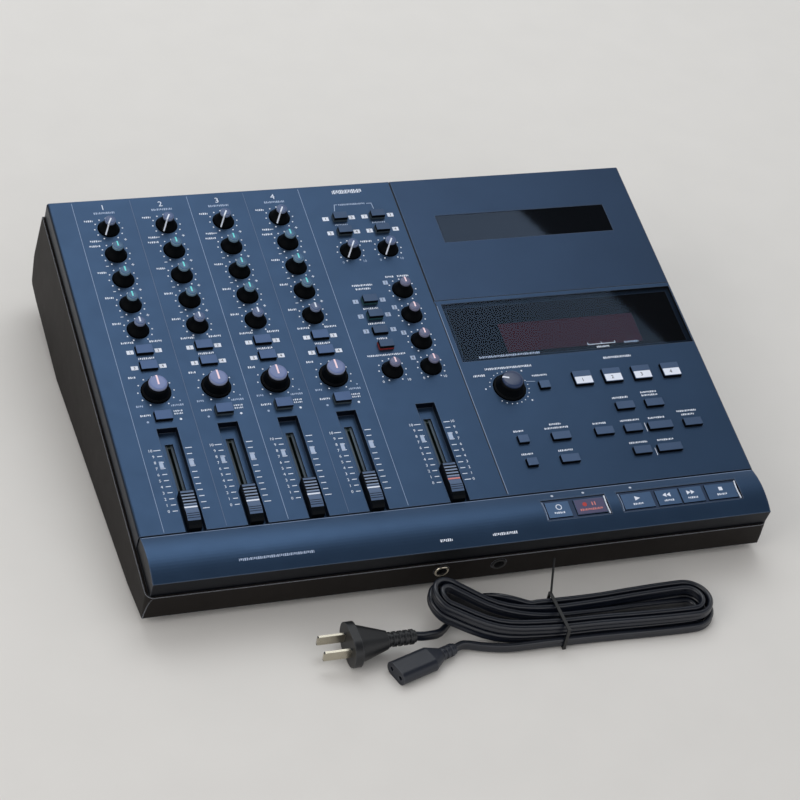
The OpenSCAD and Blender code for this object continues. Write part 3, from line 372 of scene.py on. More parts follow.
class Coat(Enum):
    """The finishes of the recorder's surfaces."""

    # side_colour is painted light on faces turned away from the panel: painted shade on the walls of the
    # panel's holes and on the sides of keys and faders, a painted highlight on the rims of the knob caps; on
    # the fascia it darkens the front band and the ends. edge_lift is a painted highlight along the rounded
    # edges.
    PANEL = painted("panel_paint", (54, 75, 102), 0.40, edge=0.5, edge_lift=0.10, side_colour=(24, 31, 43))
    FASCIA = painted("fascia_paint", (55, 77, 105), 0.38, edge=0.8, edge_lift=0.12, side_colour=(16, 20, 28))
    LID = painted("lid_paint", (50, 68, 93), 0.36, depth=0.015, mottle=0.04, edge=0.5, edge_lift=0.12)
    CASE = moulded(
        "case_plastic", (23, 19, 17), 0.55, specular=0.12, depth=0.05, mottle=0.15, edge=0.6, edge_lift=0.42,
    )
    KNOB = moulded(
        "knob_rubber", (3, 5, 8), 0.5, specular=0.05, grain=0.3, mottle=0.1, edge=0.25, edge_lift=0.02,
    )
    # The knob tops are the knobs' black rubber: the cap colours below are a painted reflection on them, and
    # where set, their side_colour is a painted highlight on the cap's rim.
    LEVEL_CAP = capped("level_cap", (66, 86, 124), 0.24, side_colour=(108, 120, 148))
    TONE_CAP = capped("tone_cap", (53, 90, 124), 0.24, side_colour=(100, 126, 146))
    SEND_CAP = capped("send_cap", (90, 95, 126), 0.24, side_colour=(112, 114, 138))
    PAN_CAP = capped(
        "pan_cap", (101, 116, 159), 0.26, grain=0.5, depth=0.02, mottle=0.16, side_colour=(124, 133, 160),
    )
    PITCH_CAP = capped("pitch_cap", (40, 55, 86), 0.22, specular=0.5, mottle=0.06)
    FADER = ribbed(
        "fader_cap", (78, 98, 128), 0.45, specular=0.25, edge=0.25, edge_lift=0.05, side_colour=(10, 12, 15),
    )
    # A painted highlight along the tops of the fader's grip rib.
    RIB = ribbed("fader_rib", (112, 130, 158), 0.42, depth=0.01)
    NOSE = ribbed("fader_nose", (5, 9, 14), 0.45, specular=0.08)
    KEY = pressed("key_cap", (68, 90, 126), 0.42, specular=0.3, metallic=0.4, side_colour=(8, 10, 14))
    MASTER_KEY = pressed(
        "master_key_cap", (62, 79, 104), 0.42, specular=0.2, metallic=0.6, side_colour=(7, 9, 12),
    )
    DARK_KEY = pressed(
        "deck_key_cap", (78, 97, 126), 0.42, specular=0.2, metallic=0.7, side_colour=(9, 12, 18),
    )
    TRANSPORT = pressed(
        "transport_key", (76, 101, 134), 0.38, specular=0.25, metallic=0.6, mottle=0.05, edge=0.25,
        side_colour=(20, 26, 38),
    )
    RECORD = pressed(
        "record_key", (80, 78, 108), 0.36, metallic=0.4, mottle=0.05, edge=0.25, side_colour=(16, 16, 24),
    )
    POCKET = Finish("pocket_floor", (50, 66, 92), 0.45, metallic=0.6, grain=0.4)
    SMOKED = glazed("smoked_window", (10, 11, 13), specular=0.26, specular_tint=(0.3, 0.56, 1.0), alpha=0.52)
    LID_GLASS = glazed(
        "smoked_lid_window", (11, 12, 14), specular=0.36, specular_tint=(0.34, 0.58, 1.0), alpha=0.8,
    )
    DISPLAY = Finish("display_glass", (165, 26, 60), 0.4, grain=0.5, depth=0.01, mottle=0.05)
    DISPLAY_FRAME = Finish("display_frame", (14, 15, 17), 0.5, specular=0.2, grain=0.5)
    BOARD = Finish("circuit_board", (18, 38, 30), 0.5, grain=1.2, depth=0.06, mottle=0.2, edge=0.2)
    STEEL = plated("plated_steel", (158, 158, 160), 0.32)
    BRASS = plated("flywheel_brass", (172, 146, 96), 0.3, grain=0.4, depth=0.02, edge=0.3)
    REEL = Finish("spindle_plastic", (182, 182, 176), 0.45, grain=0.4, mottle=0.05, edge=0.2)
    SUPPLY = Finish(
        "transformer_steel", (112, 110, 106), 0.4, metallic=0.6, depth=0.04, mottle=0.15, edge=0.3,
    )
    SOCKET = moulded("socket_plastic", (24, 24, 26), 0.5, mottle=0.1, edge=0.3)
    CHROME = plated("jack_ring", (196, 188, 172), 0.2, metallic=1.0, depth=0.005, mottle=0.06)
    RUBBER = moulded("foot_rubber", (20, 20, 21), 0.75, depth=0.06, edge=0.6)
    PLUG = moulded("plug_rubber", (14, 16, 20), 0.45, edge=0.7, edge_lift=0.05)
    CONNECTOR = moulded("connector_rubber", (17, 23, 36), 0.4, mottle=0.14, edge=0.7, edge_lift=0.06)
    CORD = Finish("cord_jacket", (15, 20, 31), 0.34, specular=0.6, grain=0.7, depth=0.03, mottle=0.2)
    TIE = Finish("tie_sleeve", (12, 13, 15), 0.45, grain=0.4, depth=0.03, mottle=0.1)
    BLADE = plated("blade_brass", (190, 184, 168), 0.28, metallic=1.0, grain=0.4, edge=0.0)
    # White and line ink print the legends, and also lay painted highlights: at the pocket ends, along the
    # fascia seam and beside the lid.
    WHITE = printed("ink_white", (220, 227, 240), 0.5, specular=0.2, mottle=0.03)
    PALE = printed("ink_pale", (164, 180, 206), 0.5, specular=0.2, mottle=0.05)
    LINE = printed("ink_line", (124, 143, 173), 0.4, mottle=0.05)
    FAINT = printed("ink_faint", (72, 92, 124), 0.45, mottle=0.05)
    # Black prints the dark numbers, and also lays painted shade in the fader grooves and in the gap beside
    # the lid.
    BLACK = printed("gap_black", (8, 9, 12), 0.6, mottle=0.05)
    TEAL = printed("ink_teal", (96, 214, 216), 0.38)
    PINK = printed("ink_pink", (248, 216, 224), 0.38)
    SALMON = printed("ink_salmon", (205, 122, 116), 0.42)
    RED = printed("ink_red", (170, 46, 44), 0.42)
    TEAL_BAND = printed("collar_teal", (38, 78, 84), 0.42)
    GREY_BAND = printed("collar_grey", (58, 72, 82), 0.42)
    RED_BAND = printed("collar_red", (132, 40, 42), 0.42)
    LAMP = printed("lamp_lens", (188, 198, 214), 0.25)
    SEAL = Finish("dust_seal", (70, 82, 92), 0.6, specular=0.3, grain=1.4, depth=0.08, mottle=0.6)

    def material(self) -> bpy.types.Material:
        """Return this finish's material."""
        return self.value.build()


# ------------------------------------------------------------------ meshes
@dataclass
class Sketch:
    """Collects closed solids for one piece, each vertex in metres."""

    verts: list[Vector] = field(default_factory=list)
    faces: list[list[int]] = field(default_factory=list)

    def loft(self, rings: Sequence[Sequence[Vector]]) -> None:
        """Join rings of equal length into a closed solid with end caps.

        Args:
            rings: The rings, each a list of points in metres.
        """
        start, n = len(self.verts), len(rings[0])
        for ring in rings:
            self.verts.extend(ring)
        for i in range(len(rings) - 1):
            for k in range(n):
                a, b = start + i * n + k, start + i * n + (k + 1) % n
                self.faces.append([a, b, b + n, a + n])
        self.faces.append([start + k for k in reversed(range(n))])
        end = start + (len(rings) - 1) * n
        self.faces.append([end + k for k in range(n)])

    def prism(self, outline: Sequence[Flat], low: float, high: float, place: Placer) -> None:
        """Raise an outline, which runs anticlockwise, from low to high."""
        self.loft([[place(x, y, w) for x, y in outline] for w in (low, high)])

    def block(
        self, centre: Flat, size: Flat, low: float, high: float, place: Placer, corner: float, edge: float
    ) -> None:
        """Add a key-like block with round corners and softened top edges.

        Args:
            centre: Middle of the block on its plane.
            size: Width and length.
            low: Height of its base.
            high: Height of its top.
            place: Turns plane coordinates into row points.
            corner: Radius of the upright corners.
            edge: How far the top edges are rounded over.
        """
        steps = ((low, 0.0), (high - edge, 0.0), (high - 0.3 * edge, 0.3 * edge), (high, edge))
        rings = []
        for w, drawn in steps:
            outline = rounded(centre, (size[0] - 2 * drawn, size[1] - 2 * drawn), max(0.05, corner - drawn))
            rings.append([place(x, y, w) for x, y in outline])
        self.loft(rings)

    def piece(self, name: str, coat: Coat, body: str, smooth: bool = False) -> bpy.types.Object:
        """Make the object, dress it and let it ride on a body.

        Args:
            name: Name of the piece.
            coat: Its finish.
            body: The body that carries it.
            smooth: Whether its faces shade as one curve.

        Returns:
            The finished object.
        """
        mesh = bpy.data.meshes.new(name)
        mesh.from_pydata([tuple(v) for v in self.verts], [], self.faces)
        mesh.validate()
        work = bmesh.new()
        work.from_mesh(mesh)
        bmesh.ops.recalc_face_normals(work, faces=work.faces)
        work.to_mesh(mesh)
        work.free()
        if smooth:
            mesh.shade_smooth()
            mesh.set_sharp_from_angle(angle=math.radians(50))
        mesh.materials.append(coat.material())
        piece = bpy.data.objects.new(name, mesh)
        bpy.context.scene.collection.objects.link(piece)
        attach(piece, body)
        LOG.info("%s: %d faces on %s", name, len(mesh.polygons), body)
        return piece


def rounded(centre: Flat, size: Flat, radius: float, steps: int = 3) -> list[Flat]:
    """Return a rectangle with round corners, anticlockwise.

    Args:
        centre: The rectangle's middle.
        size: Its width and height.
        radius: The corners' radius.
        steps: Pieces in each corner.

    Returns:
        The outline's points.
    """
    x, y = centre
    hx, hy = size[0] / 2 - radius, size[1] / 2 - radius
    points = []
    for k, (sx, sy) in enumerate(((1, 1), (-1, 1), (-1, -1), (1, -1))):
        for i in range(steps + 1):
            a = math.radians(90 * (k + i / steps))
            points.append((x + sx * hx + radius * math.cos(a), y + sy * hy + radius * math.sin(a)))
    return points


def box(left: float, right: float, low: float, high: float) -> list[Flat]:
    """Return a rectangle with sharp corners, anticlockwise."""
    return [(left, low), (right, low), (right, high), (left, high)]


def disc(centre: Flat, radius: float, sides: int = 12) -> list[Flat]:
    """Return a round outline, anticlockwise."""
    turns = [2 * math.pi / sides * i for i in range(sides)]
    return [(centre[0] + radius * math.cos(a), centre[1] + radius * math.sin(a)) for a in turns]


def dress(node: bpy.types.Object, *coats: Coat) -> None:
    """Give a frame node its finish in every material slot.

    Args:
        node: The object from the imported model.
        coats: A finish for each material slot.
    """
    node.data.materials.clear()
    for coat in coats:
        node.data.materials.append(coat.material())
    LOG.info("%s: %s", node.name, ", ".join(c.name.lower() for c in coats))


# ------------------------------------------------------------------ prints
WordTable = dict[tuple[Coat, float], tuple[Point, ...]]

# Length, share of the bar's width and lift of the marks of a broken bar.
MARKS = (
    (0.75, 1.3, 0.0), (0.5, 1.0, -0.1), (0.8, 1.25, 0.0), (0.4, 1.3, 0.0),
    (0.8, 0.95, 0.12), (0.6, 1.2, -0.05), (0.85, 1.3, 0.0),
)
MARK_GAP = 0.5
LEAST_MARK = 0.3


@dataclass
class Printing:
    """The ink on one surface: bars, dots, numbers and symbols, and also painted highlights and painted shade
    laid down the same way.
    """

    name: str
    body: str = ROOT
    place: Placer = PANEL.point
    height: float = 0.0
    thickness: float = 0.06
    sink: float = 0.02
    digit_share: float = 0.7
    sketches: dict[Coat, Sketch] = field(default_factory=dict)

    def shape(self, outline: Sequence[Flat], ink: Coat) -> None:
        """Print any outline that runs anticlockwise."""
        sketch = self.sketches.setdefault(ink, Sketch())
        sketch.prism(outline, self.height - self.sink, self.height + self.thickness, self.place)

    def bar(self, left: float, right: float, v: float, width: float, ink: Coat) -> None:
        """Print a bar along u."""
        self.shape(rounded(((left + right) / 2, v), (right - left, width), min(0.15, width / 3), 2), ink)

    def rule(self, u: float, low: float, high: float, width: float, ink: Coat) -> None:
        """Print a line along v."""
        self.shape(box(u - width / 2, u + width / 2, low, high), ink)

    def stroke(self, start: Flat, end: Flat, width: float, ink: Coat) -> None:
        """Print a straight stroke between two points.

        Args:
            start: Its first end.
            end: Its other end.
            width: Its width.
            ink: The ink's finish.
        """
        along = Vector(end) - Vector(start)
        side = Vector((-along.y, along.x)).normalized() * width / 2
        a, b = Vector(start), Vector(end)
        self.shape([tuple(p) for p in (a - side, b - side, b + side, a + side)], ink)

    def dashes(self, left: float, right: float, v: float, ink: Coat, width: float = 0.95) -> None:
        """Print a plain broken bar where the real panel has a legend.

        Args:
            left: Left end.
            right: Right end.
            v: Place up the slope.
            ink: The ink's finish.
            width: Usual width of its marks.
        """
        at, k = left, int(abs(left * 7 + v * 3)) % len(MARKS)
        while at < right - LEAST_MARK:
            length, share, lift = MARKS[k % len(MARKS)]
            end = min(right, at + length)
            self.bar(at, end, v + lift * width, width * share, ink)
            at, k = end + MARK_GAP, k + 1

    def words(self, table: WordTable, u: float = 0.0) -> None:
        """Print the broken bars of a table, moved by u.

        Args:
            table: For each ink and width, the left end, right end and place
                up the slope of its bars.
            u: How far the whole table is moved to the right.
        """
        for (ink, width), places in table.items():
            for left, right, v in places:
                self.dashes(u + left, u + right, v, ink, width)

    def pad(self, figures: Printing, text: str, centre: Flat, size: Flat, digit: float, ink: Coat) -> None:
        """Print a field and a dark number on it.

        Args:
            figures: The printing that lies over the fields.
            text: The number.
            centre: The field's middle.
            size: The field's width and height.
            digit: The number's height.
            ink: The field's finish.
        """
        self.shape(rounded(centre, size, 0.2), ink)
        figures.number(text, *centre, digit, Coat.BLACK)

    def dots(self, centre: Flat, radius: float, angles: Iterable[float], size: float, ink: Coat) -> None:
        """Print dots round a knob; 0 degrees is straight up the slope.

        Args:
            centre: The knob's middle.
            radius: How far out they lie.
            angles: Their places in degrees.
            size: Their diameter.
            ink: The ink's finish.
        """
        for angle in angles:
            a = math.radians(angle)
            at = (centre[0] + radius * math.sin(a), centre[1] + radius * math.cos(a))
            self.shape(disc(at, size / 2, 8), ink)

    def number(self, text: str, u: float, v: float, size: float, ink: Coat) -> None:
        """Print a plain number with its middle at u, v.

        Args:
            text: Digits or a sign.
            u: Place across the panel.
            v: Place up the slope.
            size: Height of a digit in millimetres.
            ink: The ink's finish.
        """
        curve = bpy.data.curves.new("number", "FONT")
        curve.body = text
        curve.align_x, curve.align_y = "CENTER", "CENTER"
        curve.size = size / self.digit_share
        curve.resolution_u = 2
        curve.extrude = self.thickness / 2
        holder = bpy.data.objects.new("number", curve)
        mesh = bpy.data.meshes.new_from_object(holder)
        sketch = self.sketches.setdefault(ink, Sketch())
        start, level = len(sketch.verts), self.height + self.sink
        sketch.verts.extend(self.place(u + p.co.x, v + p.co.y, level + p.co.z) for p in mesh.vertices)
        sketch.faces.extend([start + i for i in face.vertices] for face in mesh.polygons)
        bpy.data.objects.remove(holder)
        bpy.data.curves.remove(curve)
        bpy.data.meshes.remove(mesh)

    def finish(self) -> None:
        """Make one piece of each ink."""
        for ink, sketch in self.sketches.items():
            sketch.piece(f"{self.name}_{ink.name.lower()}", ink, self.body)


# ------------------------------------------------------------------ studio
@dataclass
class Studio:
    """The camera at the photograph's angle, the table and the soft lights."""

    eye: Point = (-556.2, -1114.6, 1054.0)
    right: Point = (0.933439, -0.318683, 0.164721)
    up: Point = (0.089737, 0.651999, 0.752891)
    ahead: Point = (0.347332, 0.687996, -0.637199)
    lens: float = 113.0
    film: float = 36.0
    table: float = 9.0
    ambient: float = 0.56
    key_corner: Flat = (0.985, 0.665)
    key_turn: float = 35.0
    key_size: Flat = (1.1, 1.5)
    key_height: float = 1.5
    key_radiance: float = 2.3
    wall: tuple[float, tuple[float, ...]] = (0.45, (0.80, 0.81, 0.82, 1))
    ceiling: tuple[float, tuple[float, ...]] = (0.72, (0.08, 0.085, 0.09, 1))

    def build(self) -> None:
        """Make the camera, the table, the lights and the room."""
        self._camera()
        self._table()
        self._world()
        self._key()
        self._lamp("left_softbox", (-1.5, -0.5, 1.0), (0.0, 0.0, 0.05), (1.3, 1.0), 2.2, (1.0, 0.97, 0.94))
        self._lamp("front_fill", (0.5, -1.7, 0.9), (0.0, -0.1, 0.0), (1.2, 0.8), 0.8, (1.0, 0.97, 0.95))

    def _camera(self) -> None:
        """Set the camera up at the photograph's viewing angle."""
        data = bpy.data.cameras.new("camera")
        data.lens, data.sensor_width = self.lens, self.film
        data.clip_start, data.clip_end = 0.05, 40
        camera = bpy.data.objects.new("camera", data)
        turn = Matrix((self.right, self.up, tuple(-c for c in self.ahead))).transposed().to_4x4()
        camera.matrix_world = Matrix.Translation(Vector(self.eye) * MM) @ turn
        bpy.context.scene.collection.objects.link(camera)
        bpy.context.scene.camera = camera
        bpy.context.scene.view_settings.view_transform = "Standard"

    def _table(self) -> None:
        """Lay the plain pale table under the feet."""
        half = self.table / 2
        mesh = bpy.data.meshes.new("table")
        mesh.from_pydata([(x, y, 0) for x, y in box(-half, half, -half, half)], [], [(0, 1, 2, 3)])
        finish = Finish("table_top", (217, 215, 211), 0.7, grain=6.0, depth=0.05, mottle=0.012, specular=0.2)
        mesh.materials.append(finish.build())
        table = bpy.data.objects.new("table", mesh)
        bpy.context.scene.collection.objects.link(table)

    def _world(self) -> None:
        """Surround the scene with a pale room under a dim ceiling."""
        world = bpy.data.worlds.new("room")
        bpy.context.scene.world = world
        world.use_nodes = True
        tree = world.node_tree
        back = tree.nodes["Background"]
        rays = wired(tree, "LightPath", {}).outputs
        seen = rays["Is Camera Ray"]
        for ray in ("Is Glossy Ray", "Is Transmission Ray"):
            seen = wired(tree, "Math", {0: seen, 1: rays[ray]}, operation="MAXIMUM").outputs[0]
        place = wired(tree, "TexCoord", {}).outputs["Generated"]
        axes = wired(tree, "SeparateXYZ", {0: place})
        room = wired(tree, "ValToRGB", {"Fac": axes.outputs["Z"]})
        for stop, (height, colour) in zip(room.color_ramp.elements, (self.wall, self.ceiling)):
            stop.position, stop.color = height, colour
        ambient = (self.ambient, self.ambient, self.ambient * 1.02, 1)
        colours = {"Factor": seen, "A": ambient, "B": room.outputs["Color"]}
        mixed = wired(tree, "Mix", colours, data_type="RGBA")
        tree.links.new(mixed.outputs["Result"], back.inputs["Color"])

    def _key(self) -> None:
        """Hang the main softbox level, its corner over the deck's window."""
        along, (width, length) = math.radians(self.key_turn), self.key_size
        side = Vector((math.cos(along), math.sin(along)))
        back = Vector((-math.sin(along), math.cos(along)))
        middle = Vector(self.key_corner) - side * width / 2 + back * length / 2
        lamp = self._area("key_softbox", self.key_size, self.key_radiance, (0.95, 0.98, 1.0))
        lamp.location = (*middle, self.key_height)
        lamp.rotation_euler = (0, 0, along)

    def _lamp(self, name: str, at: Point, aim: Point, size: Flat, radiance: float, tint: Point) -> None:
        """Hang a soft rectangular lamp that faces a point.

        Args:
            name: The lamp's name.
            at: Its place in metres.
            aim: The point that it faces.
            size: Width and height in metres.
            radiance: How bright its face is.
            tint: Its colour.
        """
        lamp = self._area(name, size, radiance, tint)
        lamp.location = at
        lamp.rotation_euler = (Vector(aim) - Vector(at)).to_track_quat("-Z", "Y").to_euler()

    def _area(self, name: str, size: Flat, radiance: float, tint: Point) -> bpy.types.Object:
        """Make a rectangular lamp.

        Args:
            name: The lamp's name.
            size: Width and height in metres.
            radiance: How bright its face is.
            tint: Its colour.

        Returns:
            The lamp, which still has to be hung.
        """
        data = bpy.data.lights.new(name, "AREA")
        data.shape, data.size, data.size_y = "RECTANGLE", size[0], size[1]
        data.energy = radiance * math.pi * size[0] * size[1]
        data.color = tint
        lamp = bpy.data.objects.new(name, data)
        bpy.context.scene.collection.objects.link(lamp)
        return lamp


# -------------------------------------------------------------- mains cord
@dataclass
class MainsCord:
    """The flat mains cord: connector, lead, folded hank, lead and plug."""

    width: float = 6.5
    thickness: float = 3.3
    tie_x: float = 44.0
    middle_y: float = -193.0
    left_x: float = -24.0
    right_x: float = 132.0
    end_radius: float = 7.0
    waist: float = 4.0
    step: float = 4.7
    pull_in: float = 1.5
    layer: float = 7.3
    rings: int = 24
    turn_steps: int = 7
    last_ring: int = 109
    end_run: float = 4.5
    plug_exit: Point = (-48.0, -193.0, 11.0)
    mouth: Point = (-66.0, -214.0, 4.6)
    mouth_angle: float = 17.5
    connector: float = 43.0
    blade: Point = (17.0, 1.5, 6.3)
    blade_pitch: float = 12.7
    plug_length: float = 42.0
    runs: Point = (34.0, 70.0, 104.0)
    left_run: float = 5.0
    cross_rings: int = 10
    rise_rings: int = 4
    swing_start: float = 8.0
    swing_end: float = 58.0
    swing_angle: float = 28.0
    left_lift: float = 12.0
    tie_lift: float = 1.5
    tie_spread: float = 18.0
    clearance: float = 0.2
    straight: float = 7.0
    core_sides: int = 10
    core_turn: float = 250.0
    lead_points: tuple[Point, ...] = ((-6, -202.5, 4.2), (8, -205.5, 4.2))
    back_points: tuple[Point, ...] = (
        (21, -178, 13.8), (13, -174.6, 14.2), (5, -169, 10), (-3, -166, 4), (-14, -173, 3.6), (-29, -188, 6),
    )

    def build(self, frame: dict) -> None:
        nodes = frame["nodes"]
        path = smoothed(self.route(), 4)
        cord = self._tube(path)
        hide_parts("cord_hank", "cord_leads")
        dress(nodes["mains_plug"], Coat.PLUG)
        dress(nodes["mains_connector"], Coat.CONNECTOR)
        dress(nodes["cord_tie"], Coat.TIE)
        blades = self._blades()
        length = sum((b - a).length for a, b in zip(path, path[1:]))
        tuple(path[0])
        [tuple(p) for p in path]
        LOG.info("mains cord: %.3f m along its middle", length)

    def route(self) -> list[Vector]:
        """Return the cord's middle from the connector to the plug, in mm.

        Returns:
            The points in mm, from the connector to the plug.
        """
        a = math.radians(self.mouth_angle)
        out = Vector((math.cos(a), math.sin(a), 0))
        start = Vector(self.mouth) + self.connector * out
        first, last = self._hank(0), self._hank(self.last_ring)
        run = Vector((self.end_run, 0, 0))
        plug = Vector(self.plug_exit)
        lead = [start, start + self.straight * out, *map(Vector, self.lead_points)]
        lead += [first - 2 * run, first - run]
        back = [last - run, *map(Vector, self.back_points), plug + Vector((self.straight, 0, -1)), plug]
        return lead + [self._hank(i) for i in range(self.last_ring + 1)] + back

    def _station(self, k: int) -> Flat:
        """Return where ring k of a loop lies: distance along and angle.

        Args:
            k: The ring's number in its loop, from 0.

        Returns:
            The distance along, and the angle in degrees.
        """
        # Out along the lower side, round the right fold, back along the
        # upper side, and round the left fold.
        turn, runs = self.turn_steps, self.runs
        if k < 3:
            return runs[k], -90
        if k < 4 + turn:
            return self.right_x, -90 + (k - 3) * 180 / turn
        if k < 7 + turn:
            return runs[6 + turn - k], 90
        if k < 8 + turn:
            return self.left_run, 90
        if k < 9 + 2 * turn:
            return self.left_x, 90 + (k - 8 - turn) * 180 / turn
        return self.left_run, 270

    def _spiral(self, i: int) -> float:
        """Return how far ring i lies outside the innermost loop.

        Args:
            i: The ring's number.

        Returns:
            The distance in mm.
        """
        inner = 2 * self.rings
        crossed = inner + self.cross_rings
        risen = crossed + self.rise_rings
        if i < inner:
            return self.step * (2 - i / self.rings)
        if i < crossed:
            return -self.pull_in * (i - inner) / self.cross_rings
        if i < risen:
            return -self.pull_in
        return -self.pull_in + self.step * (i - risen) / self.rings

    def _swing(self, d: float) -> Point:
        """Return the middle line's place and heading d before the tie.

        Args:
            d: Distance from the tie, positive to the left.

        Returns:
            The place along and across, and the heading in radians.
        """
        start, end, angle = self.swing_start, self.swing_end, math.radians(self.swing_angle)
        radius = (end - start) / angle
        if d < start:
            return self.tie_x - d, 0, 0
        a = min(angle, (d - start) / radius)
        rest = max(0, d - end)
        return (
            self.tie_x - start - radius * math.sin(a) - rest * math.cos(a),
            radius * (1 - math.cos(a)) + rest * math.sin(a),
            a,
        )

    def _hank(self, i: int) -> Vector:
        """Return ring i of the hank, in mm.

        Args:
            i: The ring's number.

        Returns:
            The ring's middle.
        """
        x0, degrees = self._station(i % self.rings)
        angle, spiral = math.radians(degrees), self._spiral(i)
        far_x = self.left_x if x0 < self.tie_x else self.right_x
        reach = (x0 - self.tie_x) / (far_x - self.tie_x)
        narrow = math.cos(math.pi / 2 * reach) ** 2
        r = self.end_radius + spiral
        x = x0 + r * math.cos(angle)
        y = ((1 - narrow) * r + narrow * (self.waist + spiral)) * math.sin(angle)
        mx, my, heading = self._swing(self.tie_x - x)
        near_tie = math.exp(-(((x - self.tie_x) / self.tie_spread) ** 2))
        height = self.width / 2 + self.clearance + self.tie_lift * near_tie
        if x < self.tie_x:
            height += self.left_lift * ((self.tie_x - x) / (self.tie_x - self.left_x)) ** 2
        start = 2 * self.rings + self.cross_rings
        height += self.layer * min(1, max(0, (i - start) / self.rise_rings))
        return Vector((mx + y * math.sin(heading), self.middle_y + my + y * math.cos(heading), height))

    def _section(self) -> list[Flat]:
        """Return the two-core section: across and up, in mm.

        Returns:
            The outline's points.
        """
        core = self.thickness / 2
        away = self.width / 2 - core
        step = self.core_turn / self.core_sides
        turns = [math.radians(-self.core_turn / 2 + i * step) for i in range(self.core_sides + 1)]
        above = [(core * math.sin(a), away + core * math.cos(a)) for a in turns]
        return above + [(-x, -y) for x, y in above]

    def _tube(self, path: Sequence[Vector]) -> bpy.types.Object:
        """Sweep the section along the path, which is in metres.

        Args:
            path: The cord's middle.

        Returns:
            The cord.
        """
        rings = []
        section = self._section()
        for i, p in enumerate(path):
            before, after = path[max(0, i - 1)], path[min(len(path) - 1, i + 1)]
            ahead = (after - before).normalized()
            side = ahead.cross(Vector((0, 0, 1))).normalized()
            above = side.cross(ahead)
            rings.append([p + (side * x + above * y) * MM for x, y in section])
        sketch = Sketch()
        sketch.loft(rings)
        return sketch.piece("mains_cord", Coat.CORD, ROOT, smooth=True)

    def _blades(self) -> bpy.types.Object:
        """Plate the plug's two flat blades.

        Returns:
            The blades, as one piece.
        """
        length, thickness, height = self.blade
        root = self.plug_exit[0] - self.plug_length
        plating, hole = 0.06, 3.2
        t, outline = thickness / 2 + plating, (length + 2 * plating, height + 2 * plating)
        sketch = Sketch()
        for side in (-1, 1):
            y = self.plug_exit[1] + side * self.blade_pitch / 2

            def place(a: float, b: float, w: float, y: float = y) -> Vector:
                """Put the blade's outline upright."""
                return Vector((a, y + w, self.plug_exit[2] + b)) * MM

            sketch.prism(rounded((root - length / 2, 0), outline, 1.0), t, -t, place)
            sketch.prism(disc((root - length + hole, 0), 1.5), t + 0.02, -t - 0.02, place)
        return sketch.piece("plug_blades", Coat.BLADE, ROOT)


def smoothed(points: Sequence[Vector], steps: int) -> list[Vector]:
    """Return a smooth line through points in mm, as points in metres.

    Args:
        points: The points that the line goes through.
        steps: Number of pieces between two points.

    Returns:
        The line's points in metres.
    """
    line = []
    for i in range(len(points) - 1):
        a, b = points[max(0, i - 1)], points[i]
        c, d = points[i + 1], points[min(len(points) - 1, i + 2)]
        span = (c - b).length
        before, after = (b - a).length or span, (d - c).length or span
        start = (c - a) * (span / (span + before)) if i else (c - b)
        end = (d - b) * (span / (span + after)) if i + 2 < len(points) else (c - b)
        for k in range(steps):
            t = k / steps
            t2, t3 = t * t, t * t * t
            along = b * (2 * t3 - 3 * t2 + 1) + c * (3 * t2 - 2 * t3)
            line.append((along + start * (t3 - 2 * t2 + t) + end * (t3 - t2)) * MM)
    return line + [points[-1] * MM]


# ------------------------------------------------------------------- knobs
class Pointer(Enum):
    """What a knob sets, which gives its pointer line its colour and its cap the colour of the painted
    reflection on the knob's top.
    """

    LEVEL = (Coat.WHITE, Coat.LEVEL_CAP)
    TONE = (Coat.TEAL, Coat.TONE_CAP)
    SEND = (Coat.PINK, Coat.SEND_CAP)
    PAN = (Coat.PINK, Coat.PAN_CAP)
    PITCH = (Coat.WHITE, Coat.PITCH_CAP)


class Form(Enum):
    """The two ways in which the side of a knob is turned."""

    SLIM = "slim"
    STOUT = "stout"


@dataclass(frozen=True)
class KnobShape:
    """The turned profile of a knob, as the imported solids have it."""

    form: Form
    base: float
    top: float
    height: float
    cap_side: float
    dots: float
    line_start: float
    line_width: float

    def profile(self) -> list[Flat]:
        """Return radius and height of the side from the foot to the cap.

        Returns:
            Pairs of radius and height.
        """
        r, t, n = self.base / 2, self.top / 2, self.height - self.cap_side
        if self.form is Form.SLIM:
            waist = [(r - 0.45, 0.25 * n), (r - 1.05, 0.39 * n), (t + 1.1, 0.62 * n), (t + 0.35, 0.88 * n)]
            return [(r, 0.9), *waist]
        return [(r, 0.9), (r - 0.9, 1.2), (t + 1.5, 0.58 * n), (t + 0.9, 0.88 * n), (t + 0.3, 0.98 * n)]

    def cap(self) -> list[Flat]:
        """Return radius and height of the cap from its foot to its middle.

        Returns:
            Pairs of radius and height.
        """
        t, h = self.top / 2, self.height
        side = [(t + 0.06, h - self.cap_side + 0.04), (t + 0.06, h - 0.5), (t - 0.12, h - 0.18)]
        return side + [(t - 0.4, h + 0.06), (t * 0.72, h + 0.18), (t * 0.4, h + 0.28), (0.05, h + 0.32)]


SMALL = KnobShape(Form.SLIM, 13.0, 6.8, 9.1, 1.8, 9.0, -0.9, 0.95)
PAN = KnobShape(Form.STOUT, 17.6, 11.6, 9.0, 1.4, 11.3, -1.6, 1.1)
PITCH = KnobShape(Form.STOUT, 20.6, 13.6, 9.0, 1.4, 12.9, 2.6, 1.1)


